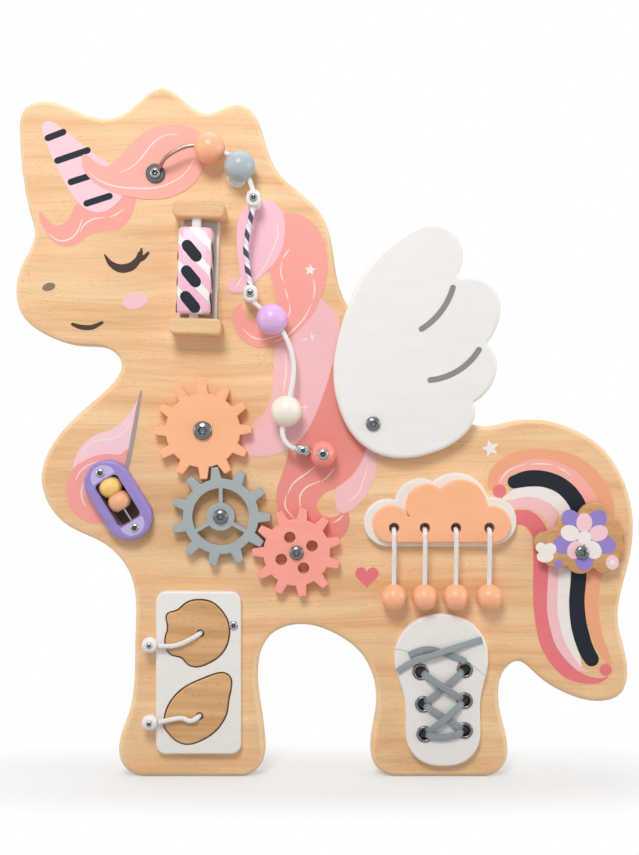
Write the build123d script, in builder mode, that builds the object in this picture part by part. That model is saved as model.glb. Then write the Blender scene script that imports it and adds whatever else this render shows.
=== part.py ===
"""Wooden busy board in the shape of a small winged horse, standing on its two flat feet.

Millimetres, +Z up. The board's face looks along -Y, +X is to the right of a viewer in front of it,
and the origin is at the middle of the foot of the whole toy. Heights named *_height or seat are
measured forwards from the board's face.
"""
import os
from math import cos, hypot, radians, sin, sqrt, tan

from build123d import *

os.makedirs("parts", exist_ok=True)

# ---------------------------------------------------------------- driving dimensions

# Board
board_thickness = 18.0
board_edge_round = 3.5
pilot_clearance = 0.05      # radial, screw shank in its hole
pilot_spare = 0.5           # how much deeper than the screw a pilot hole is

# Outline of the horse, as (x, z), clockwise from the front foot
front_foot = (-118.0, -53.0)    # left and right end of the flat
hind_foot = (45.0, 105.0)
hoof_corners = ((-129.6, 5.2), (-134, 17), (119.4, 17), (115.2, 5.2))      # bend, end, end, bend
arch_corners = ((34.6, 5.2), (30.3, 17), (-38.8, 17), (-43.2, 5.2))
outline_points = [
    (-132.9, 26), (-128, 40), (-123.4, 90), (-126.5, 131), (-143, 151), (-169, 164.5), (-184.5, 193),
    (-173, 222.5), (-146.5, 248), (-134.5, 261), (-132.3, 268.5), (-138, 277), (-160, 280.8), (-181, 287.3),
    (-197, 300.5), (-201, 316), (-197.3, 333), (-190.8, 346), (-188.9, 354), (-191.3, 365), (-194.8, 380),
    (-198.6, 416), (-194.5, 436), (-184.6, 439.8), (-152.5, 430.3), (-141.2, 428.4), (-123.8, 436.8),
    (-105.7, 448.7), (-87.5, 436.8), (-76.8, 432), (-62.7, 436.8), (-55, 437.8), (-45.2, 430.3),
    (-38, 410.8), (-28.3, 391.3), (-13.3, 378.3), (-1.6, 365.3), (4.9, 345.8), (9.4, 319.8), (28, 287),
    (48.5, 262), (77, 240), (103.7, 228), (127.4, 232), (155.7, 228.8), (179, 215.8), (193.4, 196.3),
    (201.2, 164), (198, 138), (191.4, 101.5), (197.3, 73), (192.7, 53.3), (175.8, 48.8), (158.3, 53.5),
    (138, 66.3), (125, 74.8), (117.6, 69.5),
    (113.6, 58), (114.2, 44), (118.4, 26),
]
arch_points = [
    (31.0, 26), (34.1, 45), (32.8, 61), (24.4, 79.3), (8, 92.2), (-14.6, 98.9), (-34.8, 92.2),
    (-43.9, 67), (-42, 45), (-39.4, 26),
]

# Gear train: one module, so that the three wheels mesh
gear_module = 4.92
gear_thickness = 7.0
gear_seat = 1.8             # height of the wheels' rear faces
gear_backlash_gap = 0.6     # tip of one wheel to the root of the next
gear_bore_radius = 3.55
gear_bush_radius = 3.5
gear_flange_radius = 6.5
gear_flange_height = 1.5
gear_play = 0.25            # between the wheel and the screw head
gear_edge_chamfer = 0.5
peach_gear_at = (-78.3, 225.3)
peach_teeth, grey_teeth, pink_teeth = 12, 11, 11
peach_tip_radius, grey_tip_radius, pink_tip_radius = 31.4, 32.0, 28.6
grey_root_radius = 24.4
tooth_tip_width = 4.6
tooth_root_width = 7.0
tooth_tip_round = 0.8
grey_phase = 97.0           # direction of one tooth of the grey wheel, degrees
peach_to_grey = -78.3       # direction of the line of centres, degrees
grey_to_pink = -25.4
grey_ring_inner_radius = 18.3
grey_hub_radius = 9.0
grey_spoke_width = 2.4
grey_spoke_angles = (90.0, 210.0, 330.0)
pink_hole_radius = 3.7
pink_hole_circle = 10.8
pink_hole_angles = (24.0, 114.0, 204.0, 294.0)
gear_screw_head_radii = (6.0, 4.8, 4.6)     # peach, grey, pink
gear_screw_shank_radius = 2.0
gear_screw_length = 20.0

# Bead track: a bent steel wire in a white sleeve, on two posts
wire_height = 12.0
wire_radius = 1.45
track_bead_radius = 10.0
track_bore_radius = 2.4
upper_arc_centre = (-81.8, 371.3)
upper_arc_radius = 36.6
upper_arc_start = 104.0     # degrees, where the bend out of the board ends
upper_arc_end = 8.5
lower_arc_centre = (-67.2, 263.7)
lower_arc_radius = 47.4
lower_lead = 14.8           # straight from the lower post to the arc
lower_arc_start = 50.0
lower_arc_end = -13.2
lower_run = 26.2            # straight below the lower arc
hook_radius = 11.6
hook_turn = 93.0
bead_angles = (76.8, 40.3, 44.4)    # peach and grey on the upper arc, purple on the lower arc
cream_bead_along = 15.6     # along the straight run
wire_start_angle = 143.3    # place of the washer on the upper arc
wire_start_inset = 1.7
start_bend_reach = ((3.6, 3.6), (5.6, 6.6))     # first two points of the wire, from the washer
start_bend_dip = 2.2        # how far beyond the wire's height it rises at the second point
start_bend_radii = (6.0, 9.0)
start_approach = 7.5        # straight before the upper arc
start_washer_radius = 6.3
start_washer_height = 2.2
start_washer_round = 0.8
anchor_upper_step = (0.2, -3.0)     # from the wire's end to the post's middle
anchor_lower_step = (0.6, 3.4)
anchor_width = 9.0
anchor_length = 11.0
anchor_height = 16.0
anchor_corner = 4.2
anchor_edge_round = 2.0
sleeve_radius = 1.85        # striped sleeve between the posts
sleeve_bow = 2.9            # how far it bows to the left
sleeve_entry = 1.5          # into each post
clip_size = (9.5, 6.6)
clip_entry = 0.7            # how far the wire's end enters the clip
clip_corner = 2.6
clip_edge_round = 1.6
clip_height = 15.0
clip_to_knob = 13.0
knob_radius = 8.4
knob_height = 17.0
knob_waist_radius = 5.2
knob_waist_height = 3.5
knob_belly_height = 10.5
knob_face_radius = 4.6
neck_radius = 1.5
neck_start = 6.0            # from the knob's axis
neck_length = 2.6
track_stop_inset = 6.1      # inside the upper arc
track_stop_angle = 36.0
track_stop_radius = 6.2
track_stop_height = 1.7
track_stop_chamfer = 0.4
wire_screw_head_radius = 3.5
wire_screw_shank_radius = 1.4
wire_screw_bite = 10.0      # into the board

# Roller between two blocks, leaning a little
roller_at = (-81.2, 328.6)
roller_turn = -1.8          # degrees, against the vertical
roller_axis_height = 14.3
axle_offset = -1.4          # axle to the left of the blocks' middle
block_width = 33.0
block_length = 10.2
block_height = 20.5
block_corner = 3.2
block_edge_round = 1.6
block_gap = 64.0            # between the blocks' inner faces
drum_width = 21.6
drum_depth = 16.0
drum_length = 55.0
drum_drop = 1.8             # drum below the middle of the axle
drum_corner = 4.0
drum_end_round = 2.0
drum_bore_radius = 3.05
roller_axle_radius = 3.0
axle_seat_depth = 5.0
channel_width = 25.0
channel_wall = 1.6
channel_side_height = 5.0

# Slider: two beads on a rod in a capsule frame
slider_at = (-132.9, 180.4)
slider_turn = 32.0          # degrees, top leans to the left
slider_end_radius = 15.0
slider_half_spacing = 13.0
slider_height = 10.0
slider_edge_round = 2.2
slider_window = (16.6, 31.2)
slider_window_corner = 3.0
slider_pocket_depth = 4.0   # into the board, behind the window
slider_rod_radius = 1.0
slider_rod_height = 5.0
slider_rod_seat = 3.4       # rod let into each end of the frame
slider_bead_radius = 7.6
slider_bead_length = 11.0
slider_bead_bore = 1.35
slider_bead_starts = (10.05, -1.05)     # along the rod from the middle, upwards: yellow, peach
slider_screw_reach = 20.75
slider_screw_head_radius = 2.9
slider_screw_shank_radius = 1.2
slider_screw_bite = 8.0
slider_groove_radius = 4.6
slider_groove_depth = 1.2

# Wing
wing_pivot = (31.1, 229.6)
wing_seat = 3.0
wing_thickness = 8.0
wing_edge_round = 2.6
wing_notch_round = 1.5
wing_bore_radius = 3.05
wing_post_radius = 3.0
wing_flange_radius = 9.0
wing_play = 0.3
wing_screw_head_radius = 4.6
centre_screw_bite = 12.0    # wing and spinner screws in the board
wing_groove_width = 2.3
wing_groove_depth = 0.8
wing_upper_lobe = [(30.0, 333.0), (49.4, 351.0), (70.2, 358.2), (81.3, 353.8), (88.3, 343.0), (88.0, 332.0)]
wing_notches = ((84.8, 323.3), (103.9, 280.5), (95.7, 243.2))
wing_middle_lobe = [(93.9, 324.4), (103.6, 321.2), (111.9, 310.9), (113.0, 302.6), (109.8, 290.0)]
wing_lower_lobe = [(107.7, 277.6), (110.8, 266.3), (107.7, 255.2)]
wing_rim = [
    (96.9, 236.5), (94.6, 228.9), (84.2, 217.9), (67.5, 210.2), (50.9, 207.3), (32.8, 210.8),
    (18.9, 221.3), (9.2, 240.0), (5.7, 259.4), (7.9, 281.6), (14.8, 305.2),
]
wing_grooves = (
    ((82.3, 316.9), (73.0, 299.6), (62.1, 290.3)),
    ((99.0, 277.1), (85.4, 263.5), (67.7, 257.6)),
)

# Cloud with four pull beads
cloud_base_height = 6.0
cloud_front_height = 4.0
cloud_edge_round = 1.2
cloud_base_lobes = (
    ((40.9, 165.8), 15.4), ((62.0, 178.3), 16.2), ((84.5, 176.2), 21.7), ((108.7, 166.8), 15.3),
)
cloud_base_bar = ((40.9, 150.4), (108.7, 168.0))
cloud_front_lobes = (
    ((42.9, 165.2), 12.0), ((65.8, 177.3), 13.5), ((87.6, 176.7), 17.0), ((107.7, 164.9), 12.0),
)
cloud_front_bar = ((42.9, 153.2), (107.7, 170.0))
pull_hole_radius = 2.8
pull_hole_row = 162.8
pull_columns = (44.6, 64.4, 84.4, 105.8)
pull_cord_radius = 1.5
pull_bead_radius = 8.4
pull_bead_drop = 118.2      # z of the beads' centres
pull_bead_height = 9.0
pull_knot_depth = 4.6       # cord inside the bead
# run of each pull cord, as (below the hole row, in front of the cloud); the last is above the bead
pull_cord_start_depth = 2.0
pull_cord_run = ((0.9, 2.4), (9.0, 2.1), (17.5, 1.4))
pull_cord_level = 10.0      # last bend, this far above the bead
pull_cord_stand = 0.6       # and this far in front of its middle

# Shoe plate
shoe_height = 6.0
shoe_edge_round = 1.6
shoe_outline = [
    (75.6, 107.1), (57.5, 101.5), (46.6, 87.6), (45.6, 72.5), (51.0, 55.0), (52.5, 38.0), (53.6, 22.5),
    (62.0, 11.8), (76.4, 8.3), (90.8, 11.4), (98.9, 20.5), (100.6, 38.0), (101.1, 54.0), (105.2, 71.5),
    (104.6, 87.4), (94.0, 101.5),
]
eyelet_places = ((62.0, 69.6), (90.5, 71.0), (63.7, 48.7), (90.4, 51.0), (64.6, 29.4), (90.4, 31.8))
eyelet_radius = 5.4
eyelet_hole_radius = 3.4
eyelet_height = 1.1
eyelet_barrel_wall = 0.6
lace_radius = 1.5
lace_under_height = 9.0
lace_over_height = 12.2
lace_bar_height = 8.8       # the run across the two lowest eyelets
lace_dip_height = 5.2       # where the lace ends inside an eyelet
lace_side = 1.7             # two ends in one eyelet lie this far from its middle
lace_lean = (0.2, 0.3)      # along the run, at the dip and at the bend
lace_bend = 1.6
# the tied ends above the eyelets, as (x, z, height)
lace_tail = [
    (46.8, 69.8, 7.9), (53.5, 74.8, 8.0), (61.5, 78.0, 9.8), (70.0, 80.8, 11.3), (78.6, 84.2, 11.2),
    (87.3, 86.6, 9.2), (95.0, 88.6, 8.1), (101.4, 90.6, 7.9),
]
lace_tie = [
    (54.4, 80.6, 7.8), (60.5, 83.4, 7.8), (67.6, 84.6, 7.8), (75.0, 82.7, 7.8), (82.4, 80.0, 7.9),
    (87.2, 78.6, 8.6), (90.8, 76.4, 9.2),
]

# Puzzle panel
panel_centre = (-81.4, 68.8)
panel_size = (54.8, 105.2)
panel_corner = 6.5
panel_height = 6.0
panel_edge_round = 1.4
puzzle_gap = 1.0            # all round each loose piece
puzzle_thickness = 6.8
puzzle_lift = 0.25          # clear of the board's face
puzzle_edge_round = 0.9
fruit_recess = [
    (-102.3, 102.0), (-100.4, 108.3), (-96.4, 109.4), (-90.0, 114.3), (-81.0, 116.7), (-72.0, 114.8),
    (-65.0, 108.2), (-61.2, 100.6), (-60.8, 93.6), (-63.2, 85.0), (-68.0, 78.8), (-74.6, 74.6),
    (-82.6, 72.2), (-88.4, 73.9), (-93.0, 78.4), (-98.8, 79.9), (-102.4, 84.2), (-103.2, 92.5),
]
leaf_recess = [
    (-103.6, 41.4), (-101.4, 48.0), (-96.4, 55.2), (-88.5, 61.4), (-78.4, 66.0), (-69.8, 69.1),
    (-64.2, 69.3), (-60.0, 65.8), (-59.5, 60.4), (-61.2, 51.6), (-62.6, 42.6), (-65.6, 36.4),
    (-71.0, 30.0), (-78.0, 25.4), (-88.2, 22.3), (-94.6, 23.8), (-101.0, 29.4), (-104.2, 35.2),
]
fruit_hole_at = (-80.0, 94.6)
leaf_hole_at = (-80.6, 41.2)
cord_hole_radius = 2.6
panel_screw_inset = 4.7     # from the panel's right edge
panel_screw_row = 99.6
panel_screw_head_radius = 2.9
knob_outset = 3.4           # from the panel's left edge
knob_rows = (87.7, 37.8)
cord_knob_radius = 5.1
cord_knob_stem_radius = 2.9
cord_knob_gap = 0.6         # its ball above the panel
cord_knob_belly = 10.2
cord_knob_height = 13.5
cord_knob_screw_head_radius = 2.0
panel_screw_bite = 9.0
tether_radius = 1.6
# routes of the two tethers, as (x, z, height), from the knob to the loose piece
fruit_tether = [
    (-106.9, 87.0, 10.3), (-100.3, 86.4, 9.4), (-93.3, 87.5, 9.2), (-86.6, 90.8, 9.3), (-80.9, 94.1, 9.3),
    (-79.3, 94.9, 2.8),
]
leaf_tether = [
    (-106.6, 38.0, 10.3), (-99.5, 39.3, 9.4), (-91.2, 40.9, 9.3), (-86.6, 38.0, 9.3), (-81.7, 40.4, 9.4),
    (-80.0, 41.7, 2.8),
]

# Spinner
spinner_at = (165.5, 146.8)
spinner_seat = 2.5
spinner_thickness = 6.0
spinner_edge_round = 1.0
spinner_bore_radius = 3.05
spinner_post_radius = 3.0
spinner_flange_radius = 8.0
spinner_play = 0.3
spinner_head_radius = 4.4
spinner_notch_round = 1.2
spinner_lobes = (
    ((8.5, 21.3), 10.8), ((17.9, 13.7), 9.1), ((17.3, 3.7), 9.6), ((13.8, -7.4), 6.4), ((-0.8, -3.3), 10.5),
    ((-16.0, -0.9), 9.4), ((-23.6, 6.1), 7.0), ((-16.0, 4.9), 10.5), ((-6.7, 15.4), 9.9), ((0.4, 7.3), 16.4),
)

# Fastenings from behind
rear_screw_head_radius = 4.0
rear_screw_shank_radius = 1.7
rear_screw_reach = 5.0      # beyond the board's face
rear_socket_spare = 0.4
rear_screw_rim = 0.25       # flat round the countersunk head
rear_screw_tip = (0.4, 0.7)     # radius and length of the blunt point

overall_depth = board_thickness + roller_axis_height + drum_depth / 2
board_back = overall_depth / 2      # y of the rear face, so that the toy's depth is centred
board_front = board_back - board_thickness
shank_reach = board_thickness + rear_screw_reach


# ---------------------------------------------------------------- helpers

def face(height=0.0, x=0.0, z=0.0, turn=0.0):
    """Plane parallel to the board's face and `height` in front of it; local Y is up."""
    direction = (cos(radians(turn)), 0, sin(radians(turn)))
    return Plane(origin=(x, board_front - height, z), x_dir=direction, z_dir=(0, -1, 0))


def polar(centre, radius, angle):
    """Point on a circle, in the board's plane."""
    return (centre[0] + radius * cos(radians(angle)), centre[1] + radius * sin(radians(angle)))


def screw(place, seat, head_radius, shank_radius, length):
    """Add a pan-head screw whose head seats `seat` in front of the board."""
    x, z = place
    crown = -0.6 * head_radius
    shoulder = -0.22 * head_radius
    flat = 0.3 * head_radius
    with BuildSketch(Plane(origin=(x, board_front - seat, z), x_dir=(1, 0, 0), z_dir=(0, 0, 1))) as profile:
        with BuildLine():
            Polyline((flat, crown), (0, crown), (0, length), (shank_radius, length), (shank_radius, 0),
                     (head_radius, 0), (head_radius, shoulder))
            ThreePointArc((head_radius, shoulder), (0.78 * head_radius, 0.75 * crown), (flat, crown))
        make_face()
    revolve(profile.sketch, axis=Axis((x, board_front - seat, z), (0, 1, 0)))


def shank_hole(place, radius, bite):
    """Cut a pilot hole into the board's face for a screw that bites `bite` deep."""
    with BuildSketch(face(0, *place)) as hole:
        Circle(radius + pilot_clearance)
    extrude(hole.sketch, amount=-bite - pilot_spare, mode=Mode.SUBTRACT)


def rear_socket(place):
    """Cut the blind hole that a screw from behind bites into."""
    with BuildSketch(face(0, *place)) as hole:
        Circle(rear_screw_shank_radius + pilot_clearance)
    extrude(hole.sketch, amount=rear_screw_reach + rear_socket_spare, mode=Mode.SUBTRACT)


def flanged_bush(place, flange_radius, flange_height, post_radius, post_height, bore_radius):
    """Add a bush that stands on the board: a wide flange and a narrow post, bored for a screw."""
    with BuildSketch(face(0, *place)) as flange:
        Circle(flange_radius)
        Circle(bore_radius, mode=Mode.SUBTRACT)
    extrude(flange.sketch, amount=flange_height)
    with BuildSketch(face(flange_height, *place)) as post:
        Circle(post_radius)
        Circle(bore_radius, mode=Mode.SUBTRACT)
    extrude(post.sketch, amount=post_height - flange_height)


def toothed_disc(teeth, tip_radius, root_radius, phase):
    """Add a wheel of straight-flanked teeth to the current sketch."""
    with BuildSketch(mode=Mode.PRIVATE) as tooth:
        inner = root_radius - 2.0
        with BuildLine():
            root_reach = sqrt(root_radius**2 - (tooth_root_width / 2) ** 2)
            Polyline((inner, -tooth_root_width / 2), (root_reach, -tooth_root_width / 2),
                     (tip_radius, -tooth_tip_width / 2), (tip_radius, tooth_tip_width / 2),
                     (root_reach, tooth_root_width / 2), (inner, tooth_root_width / 2), close=True)
        make_face()
        fillet(tooth.vertices().group_by(Axis.X)[-1], tooth_tip_round)
    Circle(root_radius)
    for index in range(teeth):
        add(tooth.sketch, rotation=phase + index * 360 / teeth)


def inset(points, amount):
    """Points of a clockwise closed curve, each moved inwards along its own normal."""
    moved = []
    for index, (x, z) in enumerate(points):
        before, after = points[index - 1], points[(index + 1) % len(points)]
        run, rise = after[0] - before[0], after[1] - before[1]
        length = hypot(run, rise)
        moved.append((x + amount * rise / length, z - amount * run / length))
    return moved


def shifted(place, step):
    """A place on the board moved by a step."""
    return (place[0] + step[0], place[1] + step[1])


def straight_way(angle):
    """Unit tangent of a circle at `angle`, clockwise, as a vector in space."""
    return Vector(sin(radians(angle)), 0, -cos(radians(angle)))


def tube(points, radius):
    """Add a cord: straight runs joined by arcs as large as the runs allow."""
    points = list(points)
    bends = []
    for before, corner, after in zip(points, points[1:], points[2:]):
        turn = radians((corner - before).get_angle(after - corner))
        bends.append(0.45 * min((corner - before).length, (after - corner).length) / tan(turn / 2))
    print("arc radii", [round(bend, 1) for bend in bends])
    with BuildLine() as route:
        FilletPolyline(*points, radius=bends)
    with BuildSketch(Plane(origin=route.line @ 0, z_dir=route.line % 0)) as section:
        Circle(radius)
    sweep(section.sketch, path=route.line)


def on_face(x, z, height):
    """Point in space `height` in front of the board."""
    return Vector(x, board_front - height, z)


def round_bead(centre, way, radius, bore, flat):
    """Add a ball with a straight bore along `way` and a small flat at each mouth."""
    with BuildSketch(Plane(origin=centre, x_dir=way, z_dir=way.cross(Vector(0, 1, 0)))) as profile:
        half = radius - flat
        mouth = sqrt(radius**2 - half**2)
        with BuildLine():
            Polyline((-half, mouth), (-half, bore), (half, bore), (half, mouth))
            ThreePointArc((half, mouth), (0, radius), (-half, mouth))
        make_face()
    revolve(profile.sketch, axis=Axis(centre, way))


# ---------------------------------------------------------------- gear centres

def next_centre(centre, teeth, next_teeth, direction):
    return polar(centre, gear_module * (teeth + next_teeth) / 2, direction)


grey_gear_at = next_centre(peach_gear_at, peach_teeth, grey_teeth, peach_to_grey)
pink_gear_at = next_centre(grey_gear_at, grey_teeth, pink_teeth, grey_to_pink)
peach_root_radius = gear_module * (peach_teeth + grey_teeth) / 2 - grey_tip_radius - gear_backlash_gap
pink_root_radius = gear_module * (grey_teeth + pink_teeth) / 2 - grey_tip_radius - gear_backlash_gap
peach_phase = peach_to_grey + (peach_to_grey + 180 + 180 / grey_teeth - grey_phase) * grey_teeth / peach_teeth
pink_phase = grey_to_pink + 180 + 180 / pink_teeth - (grey_phase - grey_to_pink) * grey_teeth / pink_teeth
gear_places = (peach_gear_at, grey_gear_at, pink_gear_at)
gear_top = gear_seat + gear_thickness + gear_play

# ---------------------------------------------------------------- bead track path

upper_arc_head = polar(upper_arc_centre, upper_arc_radius, upper_arc_start)
upper_head_way = straight_way(upper_arc_start)
upper_arc_foot = polar(upper_arc_centre, upper_arc_radius, upper_arc_end)
wire_start_at = polar(upper_arc_centre, upper_arc_radius - wire_start_inset, wire_start_angle)
track_stop_at = polar(upper_arc_centre, upper_arc_radius - track_stop_inset, track_stop_angle)
anchor_upper_at = shifted(upper_arc_foot, anchor_upper_step)

lower_arc_head = polar(lower_arc_centre, lower_arc_radius, lower_arc_start)
lower_head_way = straight_way(lower_arc_start)
lead_start = shifted(lower_arc_head, (-lower_head_way.X * lower_lead, -lower_head_way.Z * lower_lead))
anchor_lower_at = shifted(lead_start, anchor_lower_step)
lower_arc_foot = polar(lower_arc_centre, lower_arc_radius, lower_arc_end)
run_way = straight_way(lower_arc_end)
hook_start = shifted(lower_arc_foot, (run_way.X * lower_run, run_way.Z * lower_run))
hook_centre = polar(hook_start, hook_radius, lower_arc_end)
clip_turn = lower_arc_end + hook_turn - 90      # direction of the wire's end
hook_end = polar(hook_centre, hook_radius, lower_arc_end + 180 + hook_turn)
clip_at = polar(hook_end, clip_size[0] / 2 - clip_entry, clip_turn)
knob_at = polar(clip_at, clip_to_knob, clip_turn)
screw_seats = {
    "wire_start": (wire_start_at, start_washer_height),
    "anchor_upper": (anchor_upper_at, anchor_height),
    "anchor_lower": (anchor_lower_at, anchor_height),
    "clip": (clip_at, clip_height),
    "knob": (knob_at, knob_height),
}

# ---------------------------------------------------------------- slider rod direction

slider_way = Vector(-sin(radians(slider_turn)), 0, cos(radians(slider_turn)))
slider_screw_places = [
    shifted(slider_at, (reach * slider_way.X, reach * slider_way.Z))
    for reach in (slider_screw_reach, -slider_screw_reach)
]

# ---------------------------------------------------------------- puzzle panel fastenings

panel_screw_at = (panel_centre[0] + panel_size[0] / 2 - panel_screw_inset, panel_screw_row)
knob_places = [(panel_centre[0] - panel_size[0] / 2 - knob_outset, row) for row in knob_rows]

# ---------------------------------------------------------------- fastenings from behind

roller_way = Vector(-sin(radians(roller_turn)), 0, cos(radians(roller_turn)))
block_offset = (block_gap + block_length) / 2
block_places = [
    shifted(roller_at, (reach * roller_way.X, reach * roller_way.Z))
    for reach in (block_offset, -block_offset)
]
cloud_screw_places = [(54.5, 176.0), (96.0, 176.0)]
shoe_screw_places = [(75.6, 92.0), (76.6, 17.0)]
rear_screw_places = [*block_places, *cloud_screw_places, *shoe_screw_places]

# ---------------------------------------------------------------- board

with BuildPart() as board:
    with BuildSketch(face(0)) as horse:
        with BuildLine():
            ThreePointArc((front_foot[0], 0), hoof_corners[0], hoof_corners[1])
            Spline(hoof_corners[1], *outline_points, hoof_corners[2])
            ThreePointArc(hoof_corners[2], hoof_corners[3], (hind_foot[1], 0))
            Line((hind_foot[1], 0), (hind_foot[0], 0))
            ThreePointArc((hind_foot[0], 0), arch_corners[0], arch_corners[1])
            Spline(arch_corners[1], *arch_points, arch_corners[2])
            ThreePointArc(arch_corners[2], arch_corners[3], (front_foot[1], 0))
            Line((front_foot[1], 0), (front_foot[0], 0))
        make_face()
    extrude(amount=-board_thickness)
    rims = board.edges().filter_by(lambda edge: edge.bounding_box().size.Y < 0.01)
    fillet(rims, board_edge_round)
    # pocket behind the slider's window
    with BuildSketch(face(0, *slider_at, slider_turn)):
        RectangleRounded(*slider_window, slider_window_corner)
    extrude(amount=-slider_pocket_depth, mode=Mode.SUBTRACT)
    # pilot holes
    for place in gear_places:
        shank_hole(place, gear_screw_shank_radius, gear_screw_length - gear_top)
    for place, seat in screw_seats.values():
        shank_hole(place, wire_screw_shank_radius, wire_screw_bite)
    for place in slider_screw_places:
        shank_hole(place, slider_screw_shank_radius, slider_screw_bite)
    for place in (wing_pivot, spinner_at):
        shank_hole(place, gear_screw_shank_radius, centre_screw_bite)
    for place in (panel_screw_at, *knob_places):
        shank_hole(place, wire_screw_shank_radius, panel_screw_bite)
    # countersunk holes from the back
    for place in rear_screw_places:
        with Locations(Plane(origin=(place[0], board_back, place[1]), z_dir=(0, 1, 0))):
            CounterSinkHole(rear_screw_shank_radius + pilot_clearance, rear_screw_head_radius,
                            board_thickness, counter_sink_angle=90)
board.part.label = "board"
export_step(board.part, "parts/board.step")

# ---------------------------------------------------------------- bead track

with BuildPart() as bead_wire_upper:
    with BuildLine(face(wire_height)) as upper_path:
        FilletPolyline(
            (*shifted(wire_start_at, start_bend_reach[0]), start_washer_height - wire_height),
            (*shifted(wire_start_at, start_bend_reach[1]), -start_bend_dip),
            (upper_arc_head[0] - upper_head_way.X * start_approach,
             upper_arc_head[1] - upper_head_way.Z * start_approach, 0),
            (*upper_arc_head, 0),
            radius=list(start_bend_radii),
        )
        CenterArc(upper_arc_centre, upper_arc_radius, upper_arc_start, upper_arc_end - upper_arc_start)
    with BuildSketch(Plane(origin=upper_path.line @ 0, z_dir=upper_path.line % 0)):
        Circle(wire_radius)
    sweep(path=upper_path.line)
bead_wire_upper.part.label = "bead_wire_upper"
export_step(bead_wire_upper.part, "parts/bead_wire_upper.step")

with BuildPart() as bead_wire_lower:
    with BuildLine(face(wire_height)) as lower_path:
        Line(lead_start, lower_arc_head)
        CenterArc(lower_arc_centre, lower_arc_radius, lower_arc_start, lower_arc_end - lower_arc_start)
        Line(lower_arc_foot, hook_start)
        JernArc(hook_start, (run_way.X, run_way.Z), hook_radius, hook_turn)
    with BuildSketch(Plane(origin=lower_path.line @ 0, z_dir=lower_path.line % 0)):
        Circle(wire_radius)
    sweep(path=lower_path.line)
bead_wire_lower.part.label = "bead_wire_lower"
export_step(bead_wire_lower.part, "parts/bead_wire_lower.step")

with BuildPart() as striped_sleeve:
    with BuildLine(face(wire_height)) as sleeve_path:
        top = (anchor_upper_at[0], anchor_upper_at[1] - anchor_length / 2 + sleeve_entry)
        foot = (anchor_lower_at[0], anchor_lower_at[1] + anchor_length / 2 - sleeve_entry)
        middle = ((top[0] + foot[0]) / 2 - sleeve_bow, (top[1] + foot[1]) / 2)
        ThreePointArc(top, middle, foot)
    with BuildSketch(Plane(origin=sleeve_path.line @ 0, z_dir=sleeve_path.line % 0)):
        Circle(sleeve_radius)
    sweep(path=sleeve_path.line)
striped_sleeve.part.label = "striped_sleeve"
export_step(striped_sleeve.part, "parts/striped_sleeve.step")

with BuildPart() as wire_start_washer:
    with BuildSketch(face(0, *wire_start_at)):
        Circle(start_washer_radius)
        Circle(wire_screw_shank_radius + pilot_clearance, mode=Mode.SUBTRACT)
    extrude(amount=start_washer_height)
    fillet(wire_start_washer.edges().group_by(Axis.Y)[0].sort_by(SortBy.LENGTH)[-1],
           start_washer_round)
    add(bead_wire_upper.part, mode=Mode.SUBTRACT)
wire_start_washer.part.label = "wire_start_washer"
export_step(wire_start_washer.part, "parts/wire_start_washer.step")


def wire_anchor(place):
    """Add an upright white post that grips the wire's ends."""
    with BuildSketch(face(0, *place)) as post:
        RectangleRounded(anchor_width, anchor_length, anchor_corner)
        Circle(wire_screw_shank_radius + pilot_clearance, mode=Mode.SUBTRACT)
    extrude(post.sketch, amount=anchor_height)


with BuildPart() as wire_anchor_upper:
    wire_anchor(anchor_upper_at)
    fillet(wire_anchor_upper.faces().sort_by(Axis.Y)[0].outer_wire().edges(), anchor_edge_round)
    add(bead_wire_upper.part, mode=Mode.SUBTRACT)
    add(striped_sleeve.part, mode=Mode.SUBTRACT)
wire_anchor_upper.part.label = "wire_anchor_upper"
export_step(wire_anchor_upper.part, "parts/wire_anchor_upper.step")

with BuildPart() as wire_anchor_lower:
    wire_anchor(anchor_lower_at)
    fillet(wire_anchor_lower.faces().sort_by(Axis.Y)[0].outer_wire().edges(), anchor_edge_round)
    add(bead_wire_lower.part, mode=Mode.SUBTRACT)
    add(striped_sleeve.part, mode=Mode.SUBTRACT)
wire_anchor_lower.part.label = "wire_anchor_lower"
export_step(wire_anchor_lower.part, "parts/wire_anchor_lower.step")

with BuildPart() as end_knob:
    knob_plane = Plane(origin=on_face(*knob_at, 0), x_dir=(1, 0, 0), z_dir=(0, 0, 1))
    with BuildSketch(knob_plane):
        inner = wire_screw_shank_radius + pilot_clearance
        with BuildLine():
            Polyline((inner, -knob_height), (inner, 0), (knob_waist_radius, 0),
                     (knob_waist_radius, -knob_waist_height))
            ThreePointArc((knob_waist_radius, -knob_waist_height), (knob_radius, -knob_belly_height),
                          (knob_face_radius, -knob_height))
            Line((knob_face_radius, -knob_height), (inner, -knob_height))
        make_face()
    revolve(axis=Axis(knob_plane.origin, (0, 1, 0)))
    # neck that plugs into the metal clip
    neck_way = Vector(clip_at[0] - knob_at[0], 0, clip_at[1] - knob_at[1]).normalized()
    neck_plane = Plane(origin=on_face(*knob_at, wire_height) + neck_way * neck_start, z_dir=neck_way)
    with BuildSketch(neck_plane):
        Circle(neck_radius)
    extrude(amount=neck_length)
end_knob.part.label = "end_knob"
export_step(end_knob.part, "parts/end_knob.step")

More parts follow.
